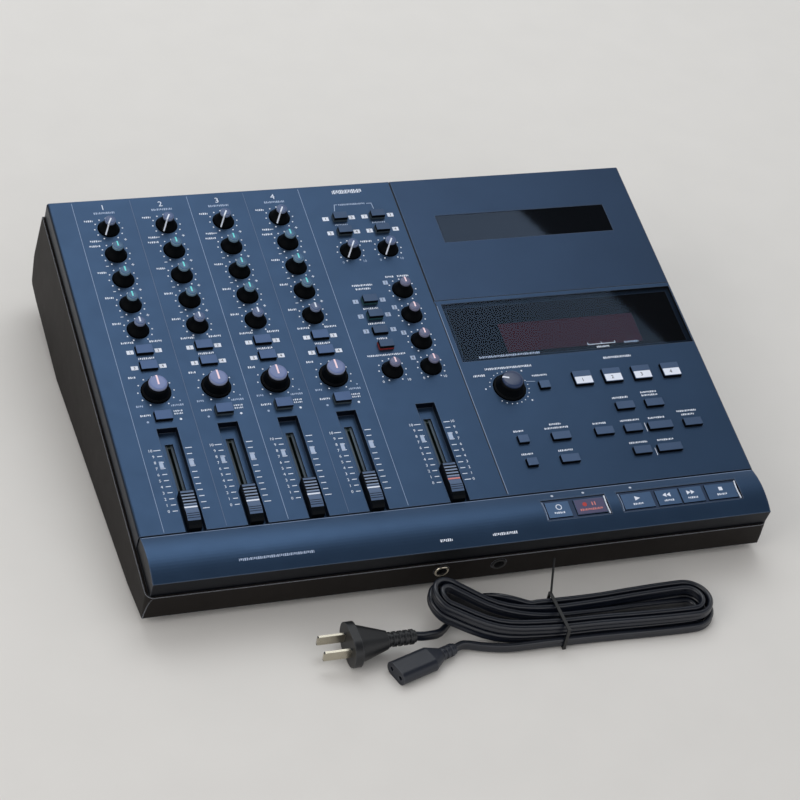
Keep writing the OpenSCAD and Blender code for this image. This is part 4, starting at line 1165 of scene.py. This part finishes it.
@dataclass(frozen=True)
class Knob:
    """One knob: its node, its place, its shape and its pointer."""

    node: str
    u: float
    v: float
    shape: KnobShape
    pointer: Pointer
    angle: float = 0.0

    def build(self, nodes: dict) -> None:
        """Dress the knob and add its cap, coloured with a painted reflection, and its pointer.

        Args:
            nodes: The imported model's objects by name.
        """
        dress(nodes[self.node], Coat.KNOB)
        frame = PANEL.matrix(self.u, self.v, 0, self.angle)

        def place(x: float, y: float, w: float) -> Vector:
            """Put a point of the knob in the row frame."""
            return frame @ (Vector((x, y, w)) * MM)

        self._cap(place)
        self._pointer(place)

    def _cap(self, place: Placer) -> None:
        """Turn the domed cap over the knob's top; its colour is a painted reflection on the black top, on
        most knobs with a painted highlight on its rim.

        Args:
            place: Turns the knob's own points into row points.
        """
        sketch = Sketch()
        sketch.loft([[place(x, y, w) for x, y in disc((0, 0), r, 28)] for r, w in self.shape.cap()])
        sketch.piece(f"{self.node}_cap", self.pointer.value[1], self.node, smooth=True)

    def _pointer(self, place: Placer) -> None:
        """Lay the pointer line over the cap, on small knobs to the foot.

        Args:
            place: Turns the knob's own points into row points.
        """
        cap = self.shape.cap()
        start = self.shape.line_start
        path = [(start, self._dome(abs(start)))]
        path += [(r, w) for r, w in reversed(cap[1:-1]) if r > start]
        if self.shape.form is Form.SLIM:
            path += [cap[0], *reversed(self.shape.profile())]
        half, sunk, raised = self.shape.line_width / 2, -0.12, 0.1
        corners = ((-half, sunk), (-half, raised), (half, raised), (half, sunk))
        rings = []
        for i, (y, w) in enumerate(path):
            before, after = path[max(0, i - 1)], path[min(len(path) - 1, i + 1)]
            along = Vector((after[0] - before[0], after[1] - before[1])).normalized()
            out = Vector((-along.y, along.x))
            rings.append([place(x, y + out.x * d, w + out.y * d) for x, d in corners])
        sketch = Sketch()
        sketch.loft(rings)
        sketch.piece(f"{self.node}_pointer", self.pointer.value[0], self.node)

    def _dome(self, reach: float) -> float:
        """Return the height of the cap's dome at a distance from its middle.

        Args:
            reach: Distance from the middle.

        Returns:
            The dome's height.
        """
        cap = sorted(self.shape.cap()[3:])
        for (r0, w0), (r1, w1) in zip(cap, cap[1:]):
            if reach <= r1:
                return w0 + (w1 - w0) * max(0.0, reach - r0) / (r1 - r0)
        return cap[-1][1]


LOWEST = -150.0
CHANNEL_KNOBS = (
    ("gain", 236.0, Pointer.LEVEL, LOWEST),
    ("high", 214.5, Pointer.TONE, 0.0),
    ("mid", 193.7, Pointer.TONE, 0.0),
    ("low", 173.2, Pointer.TONE, 0.0),
    ("aux", 152.6, Pointer.LEVEL, 0.0),
)
PAN_V = 104.0
CUE_KNOBS = (167.6, 146.7, 125.0, 104.0)
RETURN_KNOBS = (188.5, 214.5)


def all_knobs() -> list[Knob]:
    """Return every knob of the panel.

    Returns:
        The knobs, channel by channel, then those of the master and deck.
    """
    knobs = []
    for i, u in enumerate(CHANNELS, 1):
        for name, v, pointer, turn in CHANNEL_KNOBS:
            knobs.append(Knob(f"knob_{name}_{i}", u, v, SMALL, pointer, turn))
        knobs.append(Knob(f"knob_pan_{i}", u, PAN_V, PAN, Pointer.PAN))
    knobs += [Knob(f"knob_cue_{i}", 214.0, v, SMALL, Pointer.SEND) for i, v in enumerate(CUE_KNOBS, 1)]
    for i, u in enumerate(RETURN_KNOBS, 1):
        knobs.append(Knob(f"knob_aux_return_{i}", u, 203.0, SMALL, Pointer.LEVEL, LOWEST))
    knobs.append(Knob("knob_monitor", 188.0, PAN_V, SMALL, Pointer.SEND))
    knobs.append(Knob("knob_pitch", 260.4, 81.7, PITCH, Pointer.PITCH, -70.0))
    return knobs


# ------------------------------------------------------------------ faders
@dataclass
class Faders:
    """The five fader caps with their index lines, a painted highlight on each grip rib and painted shade in
    the grooves between them.
    """

    width: float = 8.0
    length: float = 27.0
    height: float = 3.0
    zero: float = 15.7
    groove: float = 2.2
    grooves: int = 4
    hollow: float = 3.4
    slope_start: float = 6.5
    slope_length: float = 5.5
    slope_drop: float = 1.4
    crest_drop: float = 0.2
    inset: float = 0.05
    index_depth: float = 0.62
    gap_depth: float = 0.68
    rib_share: float = 0.44
    nose_start: float = 9.3
    skirt: float = 4.7
    fine_ribs: Point = (4.7, 6.1, 7.5)
    seal_ends: Flat = (6.2, 68.8)
    seal_sides: Flat = (0.95, 2.45)
    seal_height: Flat = (-6.52, -6.3)

    def build(self, nodes: dict) -> None:
        """Dress each cap and add its lines.

        Args:
            nodes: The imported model's objects by name.
        """
        for i, u in enumerate((*CHANNELS, MASTER_FADER), 1):
            master = u == MASTER_FADER
            name = "fader_master" if master else f"fader_{i}"
            dress(nodes[name], Coat.FADER)
            self._lines(name, u, Coat.SALMON if master else Coat.WHITE)
            self._nose(name, u)
        self._seals()

    def _seals(self) -> None:
        """Lay the two lips of the dust seal over each fader's track."""
        sketch = Sketch()
        for u in (*CHANNELS, MASTER_FADER):
            for side in (-1, 1):
                left, right = sorted(u + side * d for d in self.seal_sides)
                sketch.prism(box(left, right, *self.seal_ends), *self.seal_height, PANEL.point)
        sketch.piece("dust_seals", Coat.SEAL, ROOT)

    def _lines(self, name: str, u: float, ink: Coat) -> None:
        """Add the index line, a painted highlight on each rib and painted shade in each groove.

        Args:
            name: The fader's body.
            u: Its place across the panel.
            ink: The index line's finish.
        """
        left, right = u - self.width / 2 + self.inset, u + self.width / 2 - self.inset
        index = Printing(f"{name}_index", name, height=self.height - self.index_depth, thickness=0.3)
        index.bar(left, right, self.zero, 1.0, ink)
        index.finish()
        top = self.zero + self.length / 2 - self.hollow
        rib_highlights = Printing(f"{name}_ribs", name, height=self.height, thickness=0.08)
        groove_shade = Printing(f"{name}_gaps", name, height=self.height - self.gap_depth)
        # Each groove gets painted shade, and the rib in front of it a painted highlight.
        for k in range(self.grooves):
            v = top - (k + 0.25) * self.groove
            groove_shade.bar(left, right, v, 0.5 * self.groove, Coat.BLACK)
            v -= 0.5 * self.groove
            rib_highlights.bar(left + self.inset, right - self.inset, v, self.rib_share * self.groove, Coat.RIB)
        rib_highlights.finish()
        groove_shade.finish()

    def _slope(self, back: float) -> float:
        """Return the height of the cap's front slope.

        Args:
            back: How far in front of the index line, in mm.

        Returns:
            The height over the panel.
        """
        if back < self.slope_start:
            return self.height - self.crest_drop * (back - self.hollow) / (self.slope_start - self.hollow)
        crest = self.height - self.crest_drop
        return crest - self.slope_drop * (back - self.slope_start) / self.slope_length

    def _nose(self, name: str, u: float) -> None:
        """Turn the front of the cap dark and rib its slope finely.

        Args:
            name: The fader's body.
            u: Its place across the panel.
        """
        half, end = self.width / 2, self.length / 2
        start, foot = self.nose_start, self.slope_start + self.slope_length
        outline = [
            (start, self._slope(start) + 0.08), (foot, self._slope(foot) + 0.08), (end + 0.07, 0.24),
            (end + 0.07, -self.skirt), (end - 0.3, -self.skirt), (end - 0.3, 0.0),
            (start, self._slope(start) - 0.3),
        ]
        sides = (u - half - 0.03, u + half + 0.03)
        nose = Sketch()
        nose.loft([[PANEL.point(x, self.zero - back, w) for back, w in outline] for x in sides])
        for back in self.fine_ribs:
            rib = rounded((u, self.zero - back), (self.width - 0.4, 0.4), 0.12, 2)
            nose.prism(rib, self._slope(back) - 0.1, self._slope(back) + 0.04, PANEL.point)
        nose.piece(f"{name}_nose", Coat.NOSE, name)


# ----------------------------------------------------------------- buttons
@dataclass(frozen=True)
class Key:
    """One button that stands out: its place, its size and its band."""

    u: float
    v: float
    width: float
    length: float
    band: Coat


@dataclass
class Buttons:
    """The four groups of buttons with their coloured collars."""

    down: float = 2.0
    collar: float = 0.15
    collar_height: Flat = (-1.6, 1.15)
    source: Flat = (10.4, 6.6)
    returns: Flat = (9.2, 5.2)
    monitor: Flat = (9.4, 5.6)
    select_u: float = 311.4
    select_pitch: float = 20.85
    select_v: float = 80.9
    field: Flat = (11.6, 5.4)
    record_centre: Flat = (281.8, -15.0)
    record_face: Flat = (19.7, 10.7)
    record_height: Flat = (1.7, 1.98)

    def build(self, nodes: dict) -> None:
        """Dress the groups and add what shows on them.

        Args:
            nodes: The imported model's objects by name.
        """
        dress(nodes["channel_buttons"], Coat.KEY)
        dress(nodes["master_buttons"], Coat.MASTER_KEY)
        dress(nodes["deck_buttons"], Coat.DARK_KEY)
        dress(nodes["transport_buttons"], Coat.TRANSPORT)
        self._collars("channel_buttons", [Key(u, 85.0, *self.source, Coat.GREY_BAND) for u in CHANNELS[1:]])
        returns = [Key(u, v, *self.returns, Coat.GREY_BAND) for u in (189.0, 215.0) for v in (231.6, 219.4)]
        rows = ((160.6, Coat.TEAL_BAND), (148.1, Coat.TEAL_BAND), (123.4, Coat.RED_BAND))
        self._collars("master_buttons", returns + [Key(189.0, v, *self.monitor, band) for v, band in rows])
        self._record_select()
        self._red_face()

    def _collars(self, group: str, keys: Sequence[Key]) -> None:
        """Wrap the coloured band round the foot of keys that are out.

        Args:
            group: The body of the keys.
            keys: The keys that have a band.
        """
        sketches: dict[Coat, Sketch] = {}
        for key in keys:
            sketch = sketches.setdefault(key.band, Sketch())
            size = (key.width + 2 * self.collar, key.length + 2 * self.collar)
            sketch.block((key.u, key.v), size, *self.collar_height, PANEL.point, 0.3, 0.12)
        for band, sketch in sketches.items():
            sketch.piece(f"{group}_{band.name.lower()}", band, group)

    def _record_select(self) -> None:
        """Print the white fields with their numbers on the select keys."""
        fields = Printing("record_select_print", "deck_buttons", height=self.down)
        figures = Printing("record_select_figures", "deck_buttons", height=self.down + fields.thickness)
        for i in range(4):
            u = self.select_u + i * self.select_pitch
            fields.shape(rounded((u, self.select_v), self.field, 0.3), Coat.WHITE)
            figures.number(str(i + 1), u - 0.8, self.select_v, 2.6, Coat.BLACK)
        fields.finish()
        figures.finish()

    def _red_face(self) -> None:
        """Lay the reddish face on the record key."""
        face = Sketch()
        face.block(self.record_centre, self.record_face, *self.record_height, PANEL.point, 0.5, 0.15)
        face.piece("record_key_face", Coat.RECORD, "transport_buttons")


# ------------------------------------------------------------------- panel
CHANNEL_WORDS: WordTable = {
    (Coat.PALE, 1.3): ((-6.8, 6.7, 249.5),),
    (Coat.WHITE, 1.15): (
        (-14.4, -8.2, 243.3), (-14.2, -8.4, 226.3), (-15.4, -8.4, 222.2), (-15.0, -9.4, 200.2),
        (-14.8, -8.9, 179.5), (-14.9, -9.2, 158.6), (-14.6, -9.6, 116.0), (-13.0, -4.5, 143.0),
        (4.9, 13.1, 142.8), (-13.8, -7.2, 86.6),
    ),
    (Coat.WHITE, 1.25): ((-5.0, 5.3, 129.9),),
    (Coat.WHITE, 0.9): ((7.2, 13.2, 88.1), (7.2, 13.2, 86.1)),
    (Coat.PALE, 1.15): ((-14.7, -10.4, 93.8), (6.8, 14.4, 92.5)),
}
MASTER_WORDS: WordTable = {
    (Coat.WHITE, 2.6): ((190.2, 211.0, 254.5),),
    (Coat.PALE, 1.1): ((191.4, 210.2, 243.2),),
    (Coat.PALE, 1.0): ((184.4, 193.6, 226.0), (210.2, 219.4, 226.0)),
    (Coat.WHITE, 1.2): ((197.4, 205.1, 210.4),),
    (Coat.WHITE, 1.15): (
        (181.1, 194.8, 173.9), (182.8, 193.0, 170.9), (205.5, 211.4, 179.2), (213.6, 221.9, 179.2),
    ),
    (Coat.WHITE, 1.1): (
        (183.2, 193.1, 154.4), (182.9, 194.0, 142.0), (185.1, 192.0, 129.6), (174.8, 200.3, 116.3),
    ),
}
DECK_WORDS: WordTable = {
    (Coat.WHITE, 1.3): ((248.6, 280.6, 97.6), (239.3, 247.6, 93.0), (331.8, 351.6, 98.2)),
    (Coat.WHITE, 1.2): ((326.1, 337.0, 65.6),),
    (Coat.WHITE, 1.1): (
        (278.4, 289.2, 89.2), (347.0, 358.0, 67.9), (347.0, 358.0, 65.4), (305.9, 315.1, 47.2),
        (325.0, 338.2, 47.2), (344.8, 356.2, 47.2), (325.1, 337.5, 29.6), (344.7, 355.9, 29.6),
        (251.6, 258.7, 47.4), (276.9, 284.6, 50.1), (272.8, 288.8, 47.2), (251.1, 259.0, 29.5),
        (276.1, 285.8, 29.5), (366.1, 380.0, 50.2), (368.5, 377.5, 47.3),
    ),
}
# Where the strips' dividers stand, and in which ink.
DIVIDERS = (
    (15.5, Coat.LINE), (53.5, Coat.FAINT), (91.5, Coat.LINE), (129.5, Coat.FAINT), (167.5, Coat.LINE),
)
# The two arms of the bracket that joins the returns' buttons.
RETURN_BRACKETS = (
    ((187.4, 238.0), (188.7, 243.4), (190.6, 243.4)), ((211.0, 243.0), (214.4, 243.0), (214.7, 238.0)),
)
# The number at each end of the scale of the returns and of the lower knobs.
RETURN_ENDS = ((181.2, "0"), (195.8, "10"), (206.9, "0"), (221.4, "10"))
LOWER_ENDS = ((179.6, "0"), (196.6, "10"), (206.7, "0"), (220.9, "10"))


@dataclass
class PanelPrint:
    """The scales, dividers and legends printed on the control panel."""

    scale_top: float = 60.2
    scale_zero: float = 15.7
    tick: float = 0.5
    tick_start: float = 7.6
    tick_ends: Flat = (10.7, 10.9)
    long_ends: Flat = (12.0, 11.8)
    unity: Flat = (46.3, 52.0)
    thin: float = 0.45
    signs: tuple[float, ...] = (226.3, 205.2, 184.4, 163.7)
    sign_arm: float = 0.9
    plus_u: float = 8.8
    minus_u: float = -7.7
    number_v: float = 254.0
    pad_rows: Flat = (135.4, 123.1)
    pad_sides: Flat = (-9.0, 8.8)
    digit: float = 2.0
    figure_u: Flat = (13.0, 13.6)

    def build(self) -> None:
        """Print the whole panel."""
        self.ink = Printing("panel_print")
        for i, u in enumerate(CHANNELS, 1):
            self._channel(u, i)
        for u in (*CHANNELS, MASTER_FADER):
            self._fader_scale(u)
        self._dividers()
        self._master()
        self._deck()
        for knob in all_knobs():
            self._ring(knob)
        self.ink.finish()

    def _ring(self, knob: Knob) -> None:
        """Print the dots round a knob.

        Args:
            knob: The knob, whose shape says how far out they lie.
        """
        fine = knob.pointer is Pointer.PITCH
        angles = [-80 + 15 * k for k in range(21)] if fine else [LOWEST + 30 * k for k in range(11)]
        self.ink.dots((knob.u, knob.v), knob.shape.dots, angles, 0.8 if fine else 1.05, Coat.WHITE)
        if knob.pointer is Pointer.TONE:
            self.ink.bar(knob.u - 0.3, knob.u + 0.3, knob.v + knob.shape.dots + 0.2, 1.1, Coat.PALE)

    def _channel(self, u: float, number: int) -> None:
        """Print one channel strip.

        Args:
            u: The strip's middle.
            number: The channel's number.
        """
        ink = self.ink
        ink.number(str(number), u, self.number_v, 4.2, Coat.WHITE)
        ink.words(CHANNEL_WORDS, u)
        arm, plus, minus = self.sign_arm, u + self.plus_u, u + self.minus_u
        for v in self.signs:
            ink.stroke((plus - arm, v), (plus + arm, v), self.thin, Coat.WHITE)
            ink.stroke((plus, v - arm), (plus, v + arm), self.thin, Coat.WHITE)
            ink.stroke((minus - arm, v), (minus + arm, v), self.thin, Coat.WHITE)
        figures = Printing(f"pad_figures_{number}", height=ink.thickness)
        for row, v in enumerate(self.pad_rows):
            for side, at in enumerate(self.pad_sides, 1):
                ink.pad(figures, str(2 * row + side), (u + at, v), (4.4, 3.0), self.digit, Coat.WHITE)
        figures.finish()
        ink.shape(disc((u + 13.1, 95.7), 0.5, 8), Coat.PALE)
        ink.shape(disc((u - 10.3, 81.6), 0.75, 10), Coat.PALE)
        ink.shape(disc((u + 10.3, 81.8), 0.8, 10), Coat.WHITE)

    def _fader_scale(self, u: float) -> None:
        """Print the 0 to 10 scale on both sides of a fader slot.

        Args:
            u: The slot's place, which also tells the master fader.
        """
        ink, step, start = self.ink, (self.scale_top - self.scale_zero) / 10, self.tick_start
        for k in range(11):
            v = self.scale_zero + k * step
            left = self.long_ends[0] if k == 10 else self.tick_ends[0]
            right = self.long_ends[1] if k in (0, 10) else self.tick_ends[1]
            ink.bar(u - left, u - start, v, self.tick, Coat.WHITE)
            ink.bar(u + start, u + right, v, self.tick, Coat.WHITE)
            wide = 1.0 if k == 10 else 0.0
            ink.number(str(k), u - self.figure_u[0] - wide, v, self.digit, Coat.WHITE)
            if u == MASTER_FADER:
                ink.number(str(k), u + self.figure_u[1], v, self.digit, Coat.WHITE)
        for left, right in ((-10.7, -8.3), (7.6, 10.4)):
            ink.shape(box(u + left, u + right, *self.unity), Coat.PALE)

    def _dividers(self) -> None:
        """Draw the fine lines between the strips, and beside the deck a painted highlight on the groove and
        painted shade in the gap beside the lid.
        """
        for u, ink in DIVIDERS:
            self.ink.rule(u, 1.5, 259.0, 0.35, ink)
        # Beside the lid: a painted highlight on the groove's edge, then painted shade in the gap.
        self.ink.rule(232.9, 1.5, 152.0, 0.4, Coat.LINE)
        self.ink.rule(232.3, 1.5, 154.0, 0.6, Coat.BLACK)
        self.ink.rule(231.8, 154.0, 259.5, 0.5, Coat.BLACK)

    def _master(self) -> None:
        """Print the legends of the master section."""
        ink = self.ink
        ink.words(MASTER_WORDS)
        for line in RETURN_BRACKETS:
            for a, b in zip(line, line[1:]):
                ink.stroke(a, b, self.thin, Coat.PALE)
        figures = Printing("return_figures", height=ink.thickness)
        for v, names in ((231.7, "1313"), (219.3, "2424")):
            for u, name in zip((179.4, 197.5, 206.5, 224.6), names):
                ink.pad(figures, name, (u, v), (4.2, 3.2), self.digit, Coat.WHITE)
        figures.finish()
        cues = Printing("cue_figures", height=ink.thickness)
        for i, v in enumerate((174.6, 153.8, 132.7, 112.1), 1):
            ink.pad(cues, str(i), (204.2, v), (3.2, 3.2), 2.2, Coat.PALE)
        for i, v in enumerate((160.8, 148.5, 136.2), 1):
            for u in (179.8, 198.2):
                ink.pad(cues, str(i), (u, v), (3.6, 3.2), self.digit, Coat.PALE)
        cues.finish()
        for ends, v, colour in ((RETURN_ENDS, 193.9, Coat.PALE), (LOWER_ENDS, 95.4, Coat.WHITE)):
            for u, name in ends:
                ink.number(name, u, v, 1.9, colour)

    def _deck(self) -> None:
        """Print the legends of the tape deck."""
        ink = self.ink
        ink.words(DECK_WORDS)
        for u, v in ((272.7, 94.0), (244.4, 82.2), (272.3, 70.3)):
            ink.shape(disc((u, v), 0.6, 8), Coat.WHITE)
        ink.stroke((273.0, 85.3), (279.1, 84.7), 0.35, Coat.PALE)
        for low, high in ((37.2, 44.0), (18.5, 24.0)):
            ink.rule(340.9, low, high, 0.4, Coat.WHITE)


# -------------------------------------------------------------------- deck
WINDOW_WORDS: WordTable = {
    (Coat.PALE, 1.3): ((248.1, 290.1, 107.4),),
    (Coat.WHITE, 1.1): ((330.6, 339.3, 107.6),),
    (Coat.PALE, 1.1): ((351.1, 361.0, 109.6),),
}
FASCIA_WORDS: WordTable = {
    (Coat.WHITE, 1.3): ((179.0, 187.0, -27.3), (212.9, 228.9, -27.3)),
    (Coat.PALE, 1.3): ((54.0, 100.0, -24.5),),
}
KEY_WORDS: WordTable = {
    (Coat.WHITE, 1.1): (
        (257.0, 264.4, -17.3), (310.3, 317.5, -17.3), (331.6, 338.4, -17.3), (348.0, 354.6, -17.3),
        (368.3, 375.4, -17.3),
    ),
}
# Middle and width of each transport key.
TRANSPORT_KEYS = ((260.4, 15.6), (281.8, 20.2), (314.0, 20.6), (334.9, 15.4), (351.5, 15.2), (371.9, 20.4))
# Place, bow, ink and width of the painted highlight on the curved end wall at each end of the pockets.
POCKET_END_HIGHLIGHTS = (
    (251.2, 0.5, Coat.LINE, 0.6), (293.1, -0.35, Coat.WHITE, 0.8),
    (302.4, 0.6, Coat.LINE, 0.6), (383.4, -0.5, Coat.WHITE, 0.8),
)


@dataclass
class Deck:
    """The windows, the display under the glass and the transport strip."""

    window_top: float = -0.1
    display: tuple[float, float, float, float] = (270.0, 366.0, 111.0, 135.0)
    frame_box: tuple[float, float, float, float] = (239.4, 395.8, 108.4, 149.5)
    mask_height: Flat = (-2.6, -2.15)
    face_height: Flat = (-3.2, -2.65)
    pockets: tuple[Flat, ...] = ((250.7, 293.5), (301.7, 383.9))
    pocket_ends: Flat = (-22.4, -7.6)
    pocket_rims: Flat = (-20.9, -9.1)
    lining: Flat = (-0.98, 1.2)
    key_gap: float = 0.3
    seam_ends: tuple[float, ...] = (1.5, 100.0, 200.0, 300.0, 399.5)
    seam_v: float = -0.8
    seam_width: float = 0.42
    lamps: tuple[Flat, ...] = ((259.8, -4.1), (280.6, -4.2), (312.7, -4.4))
    lens: tuple[Flat, ...] = ((0.9, -0.1), (0.9, 0.1), (0.6, 0.3), (0.1, 0.38))
    key_top: float = 1.98
    sign_v: float = -13.2
    sign_half: float = 1.6

    def build(self, nodes: dict) -> None:
        """Dress the windows and the fascia and add what lies under them.

        Args:
            nodes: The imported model's objects by name.
        """
        dress(nodes["top_panel"], Coat.PANEL)
        dress(nodes["front_fascia"], Coat.FASCIA)
        dress(nodes["cassette_lid"], Coat.LID)
        dress(nodes["display_window"], Coat.SMOKED)
        dress(nodes["lid_window"], Coat.LID_GLASS)
        self._under_glass()
        self._window_print()
        self._pockets()
        self._fascia_print()
        self._symbols()

    def _under_glass(self) -> None:
        """Set the dark mask and the reddish display under the window."""
        u0, u1, v0, v1 = self.frame_box
        a, b, c, d = self.display
        mask = Sketch()
        for strip in ((u0, u1, v0, c), (u0, u1, d, v1), (u0, a, c, d), (b, u1, c, d)):
            mask.prism(box(*strip), *self.mask_height, PANEL.point)
        mask.piece("display_mask", Coat.DISPLAY_FRAME, ROOT)
        face = Sketch()
        face.prism(box(a - 0.5, b + 0.5, c - 0.5, d + 0.5), *self.face_height, PANEL.point)
        face.piece("display_face", Coat.DISPLAY, ROOT)

    def _window_print(self) -> None:
        """Print the small legends on the glass."""
        ink = Printing("window_print", height=self.window_top)
        ink.words(WINDOW_WORDS)
        ink.bar(325.1, 344.7, 110.0, 0.4, Coat.WHITE)
        for u in (325.3, 334.9, 344.5):
            ink.rule(u, 109.8, 111.6, 0.4, Coat.WHITE)
        ink.finish()

    def _pockets(self) -> None:
        """Line the transport pockets between the keys, and lay a painted highlight on the curved wall at
        each pocket end.
        """
        sketch = Sketch()
        low, high = self.pocket_ends
        floor, level = self.lining
        for left, right in self.pockets:
            edges = [left, right]
            for u, width in TRANSPORT_KEYS:
                if left < u < right:
                    half = width / 2 + self.key_gap
                    edges[-1:-1] = [u - half, u + half]
            for a, b in zip(edges[::2], edges[1::2]):
                sketch.prism(box(a, b, low, high), floor, level + 0.01, PANEL.point)
            for c, d in ((low, self.pocket_rims[0]), (self.pocket_rims[1], high)):
                sketch.prism(box(left, right, c, d), floor, level, PANEL.point)
        sketch.piece("pocket_lining", Coat.POCKET, ROOT)
        end_highlights = Printing("pocket_end_highlights", height=level, thickness=0.5)
        for u, bow, ink, width in POCKET_END_HIGHLIGHTS:
            points = [(u + bow * math.sin(math.pi * k / 6), -21.6 + k * 2.2) for k in range(7)]
            for a, b in zip(points, points[1:]):
                end_highlights.stroke(a, b, width, ink)
        end_highlights.finish()

    def _fascia_print(self) -> None:
        """Print the legends, lay a painted highlight along the seam with the panel and set the lamps on the
        fascia.
        """
        ink = Printing("fascia_print", place=PANEL.on_fascia)
        ink.words(FASCIA_WORDS)
        # A painted highlight along the seam between the panel and the fascia.
        for left, right in zip(self.seam_ends, self.seam_ends[1:]):
            ink.bar(left, right, self.seam_v, self.seam_width, Coat.LINE)
        ink.finish()
        lenses = Sketch()
        for centre in self.lamps:
            lenses.loft([[PANEL.on_fascia(x, y, w) for x, y in disc(centre, r)] for r, w in self.lens])
        lenses.piece("lamp_lenses", Coat.LAMP, ROOT, smooth=True)

    def _symbols(self) -> None:
        """Print the usual tape symbols on the transport keys."""
        ink = Printing("transport_symbols", "transport_buttons", height=self.key_top)
        plain = Printing("transport_signs", "transport_buttons", height=1.8)
        ring = disc((261, self.sign_v), 1.8)
        for a, b in zip(ring, ring[1:] + ring[:1]):
            plain.stroke(a, b, 0.55, Coat.WHITE)
        ink.shape(disc((278.3, -13.4), 1.5), Coat.RED)
        for u in (283.4, 285.2):
            ink.bar(u - 0.35, u + 0.35, -13.4, 2.6, Coat.SALMON)
        for u, reach in ((312.5, 3.6), (334.1, -2.6), (336.9, -2.6), (348.3, 2.6), (351.1, 2.6)):
            self._arrow(plain, u, reach)
        plain.bar(370.6, 373.2, self.sign_v, 2.6, Coat.WHITE)
        plain.words(KEY_WORDS)
        ink.dashes(274.3, 289.2, -17.3, Coat.SALMON, 1.2)
        ink.finish()
        plain.finish()

    def _arrow(self, ink: Printing, u: float, reach: float) -> None:
        """Print a triangle that points along u.

        Args:
            ink: The printing that takes it.
            u: Where its upright side stands.
            reach: How far its tip lies from there, below 0 to the left.
        """
        v, half = self.sign_v, self.sign_half
        outline = [(u, v - half), (u + reach, v), (u, v + half)]
        ink.shape(outline if reach > 0 else outline[::-1], Coat.WHITE)


# ----------------------------------------------------- case and inner parts
@dataclass
class Housing:
    """The lower case, the feet, the sockets and what lies inside."""

    ring_out: float = 5.9
    ring_sides: int = 32
    ring_profile: tuple[Flat, ...] = (
        (3.4, -0.2), (3.4, 0.25), (3.8, 0.5), (4.4, 0.35), (4.7, -0.1), (4.7, -0.3),
    )
    plain_jack: str = "second_front_jack"

    def build(self, frame: dict) -> None:
        """Dress the housing and ring the jacks.
        """
        nodes = frame["nodes"]
        coats = {
            "lower_case": Coat.CASE,
            "feet": Coat.RUBBER,
            "jack_sockets": Coat.SOCKET,
            "circuit_boards": Coat.BOARD,
            "tape_mechanism": Coat.STEEL,
            "power_supply": Coat.SUPPLY,
            "capstan_flywheel": Coat.BRASS,
            "reel_supply": Coat.REEL,
            "reel_takeup": Coat.REEL,
        }
        for name, coat in coats.items():
            dress(nodes[name], coat)
        self._rings(frame["record"])

    def _rings(self, record: dict) -> None:
        """Set a bright ring round each jack's mouth.

        Args:
            record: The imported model's record, which places the jacks.
        """
        sketch = Sketch()
        for mount in record["mounts"]:
            if "jack" in mount["name"] and mount["name"] != self.plain_jack:
                axis = Vector(mount["axis"]).normalized()
                self._ring(sketch, Vector(mount["pos_m"]) + axis * self.ring_out * MM, axis)
        sketch.piece("jack_rings", Coat.CHROME, ROOT, smooth=True)

    def _ring(self, sketch: Sketch, at: Vector, axis: Vector) -> None:
        """Turn one ring round a jack's axis.

        Args:
            sketch: The sketch that takes the ring.
            at: The ring's middle.
            axis: The jack's axis.
        """
        turn = axis.to_track_quat("Z", "Y").to_matrix()
        start, n, sides = len(sketch.verts), len(self.ring_profile), self.ring_sides
        for i in range(sides):
            a = 2 * math.pi * i / sides
            c, d = start + i * n, start + (i + 1) % sides * n
            for k, (r, w) in enumerate(self.ring_profile):
                sketch.verts.append(at + turn @ (Vector((r * math.cos(a), r * math.sin(a), w)) * MM))
                after = (k + 1) % n
                sketch.faces.append([c + k, c + after, d + after, d + k])


def main() -> None:
    """Build the whole scene."""
    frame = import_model()
    Studio().build()
    MainsCord().build(frame)
    nodes = frame["nodes"]
    Deck().build(nodes)
    Housing().build(frame)
    PanelPrint().build()
    for knob in all_knobs():
        knob.build(nodes)
    Faders().build(nodes)
    Buttons().build(nodes)


if __name__ == "__main__":
    logging.basicConfig(level=logging.INFO, format="%(name)s: %(message)s")
    main()
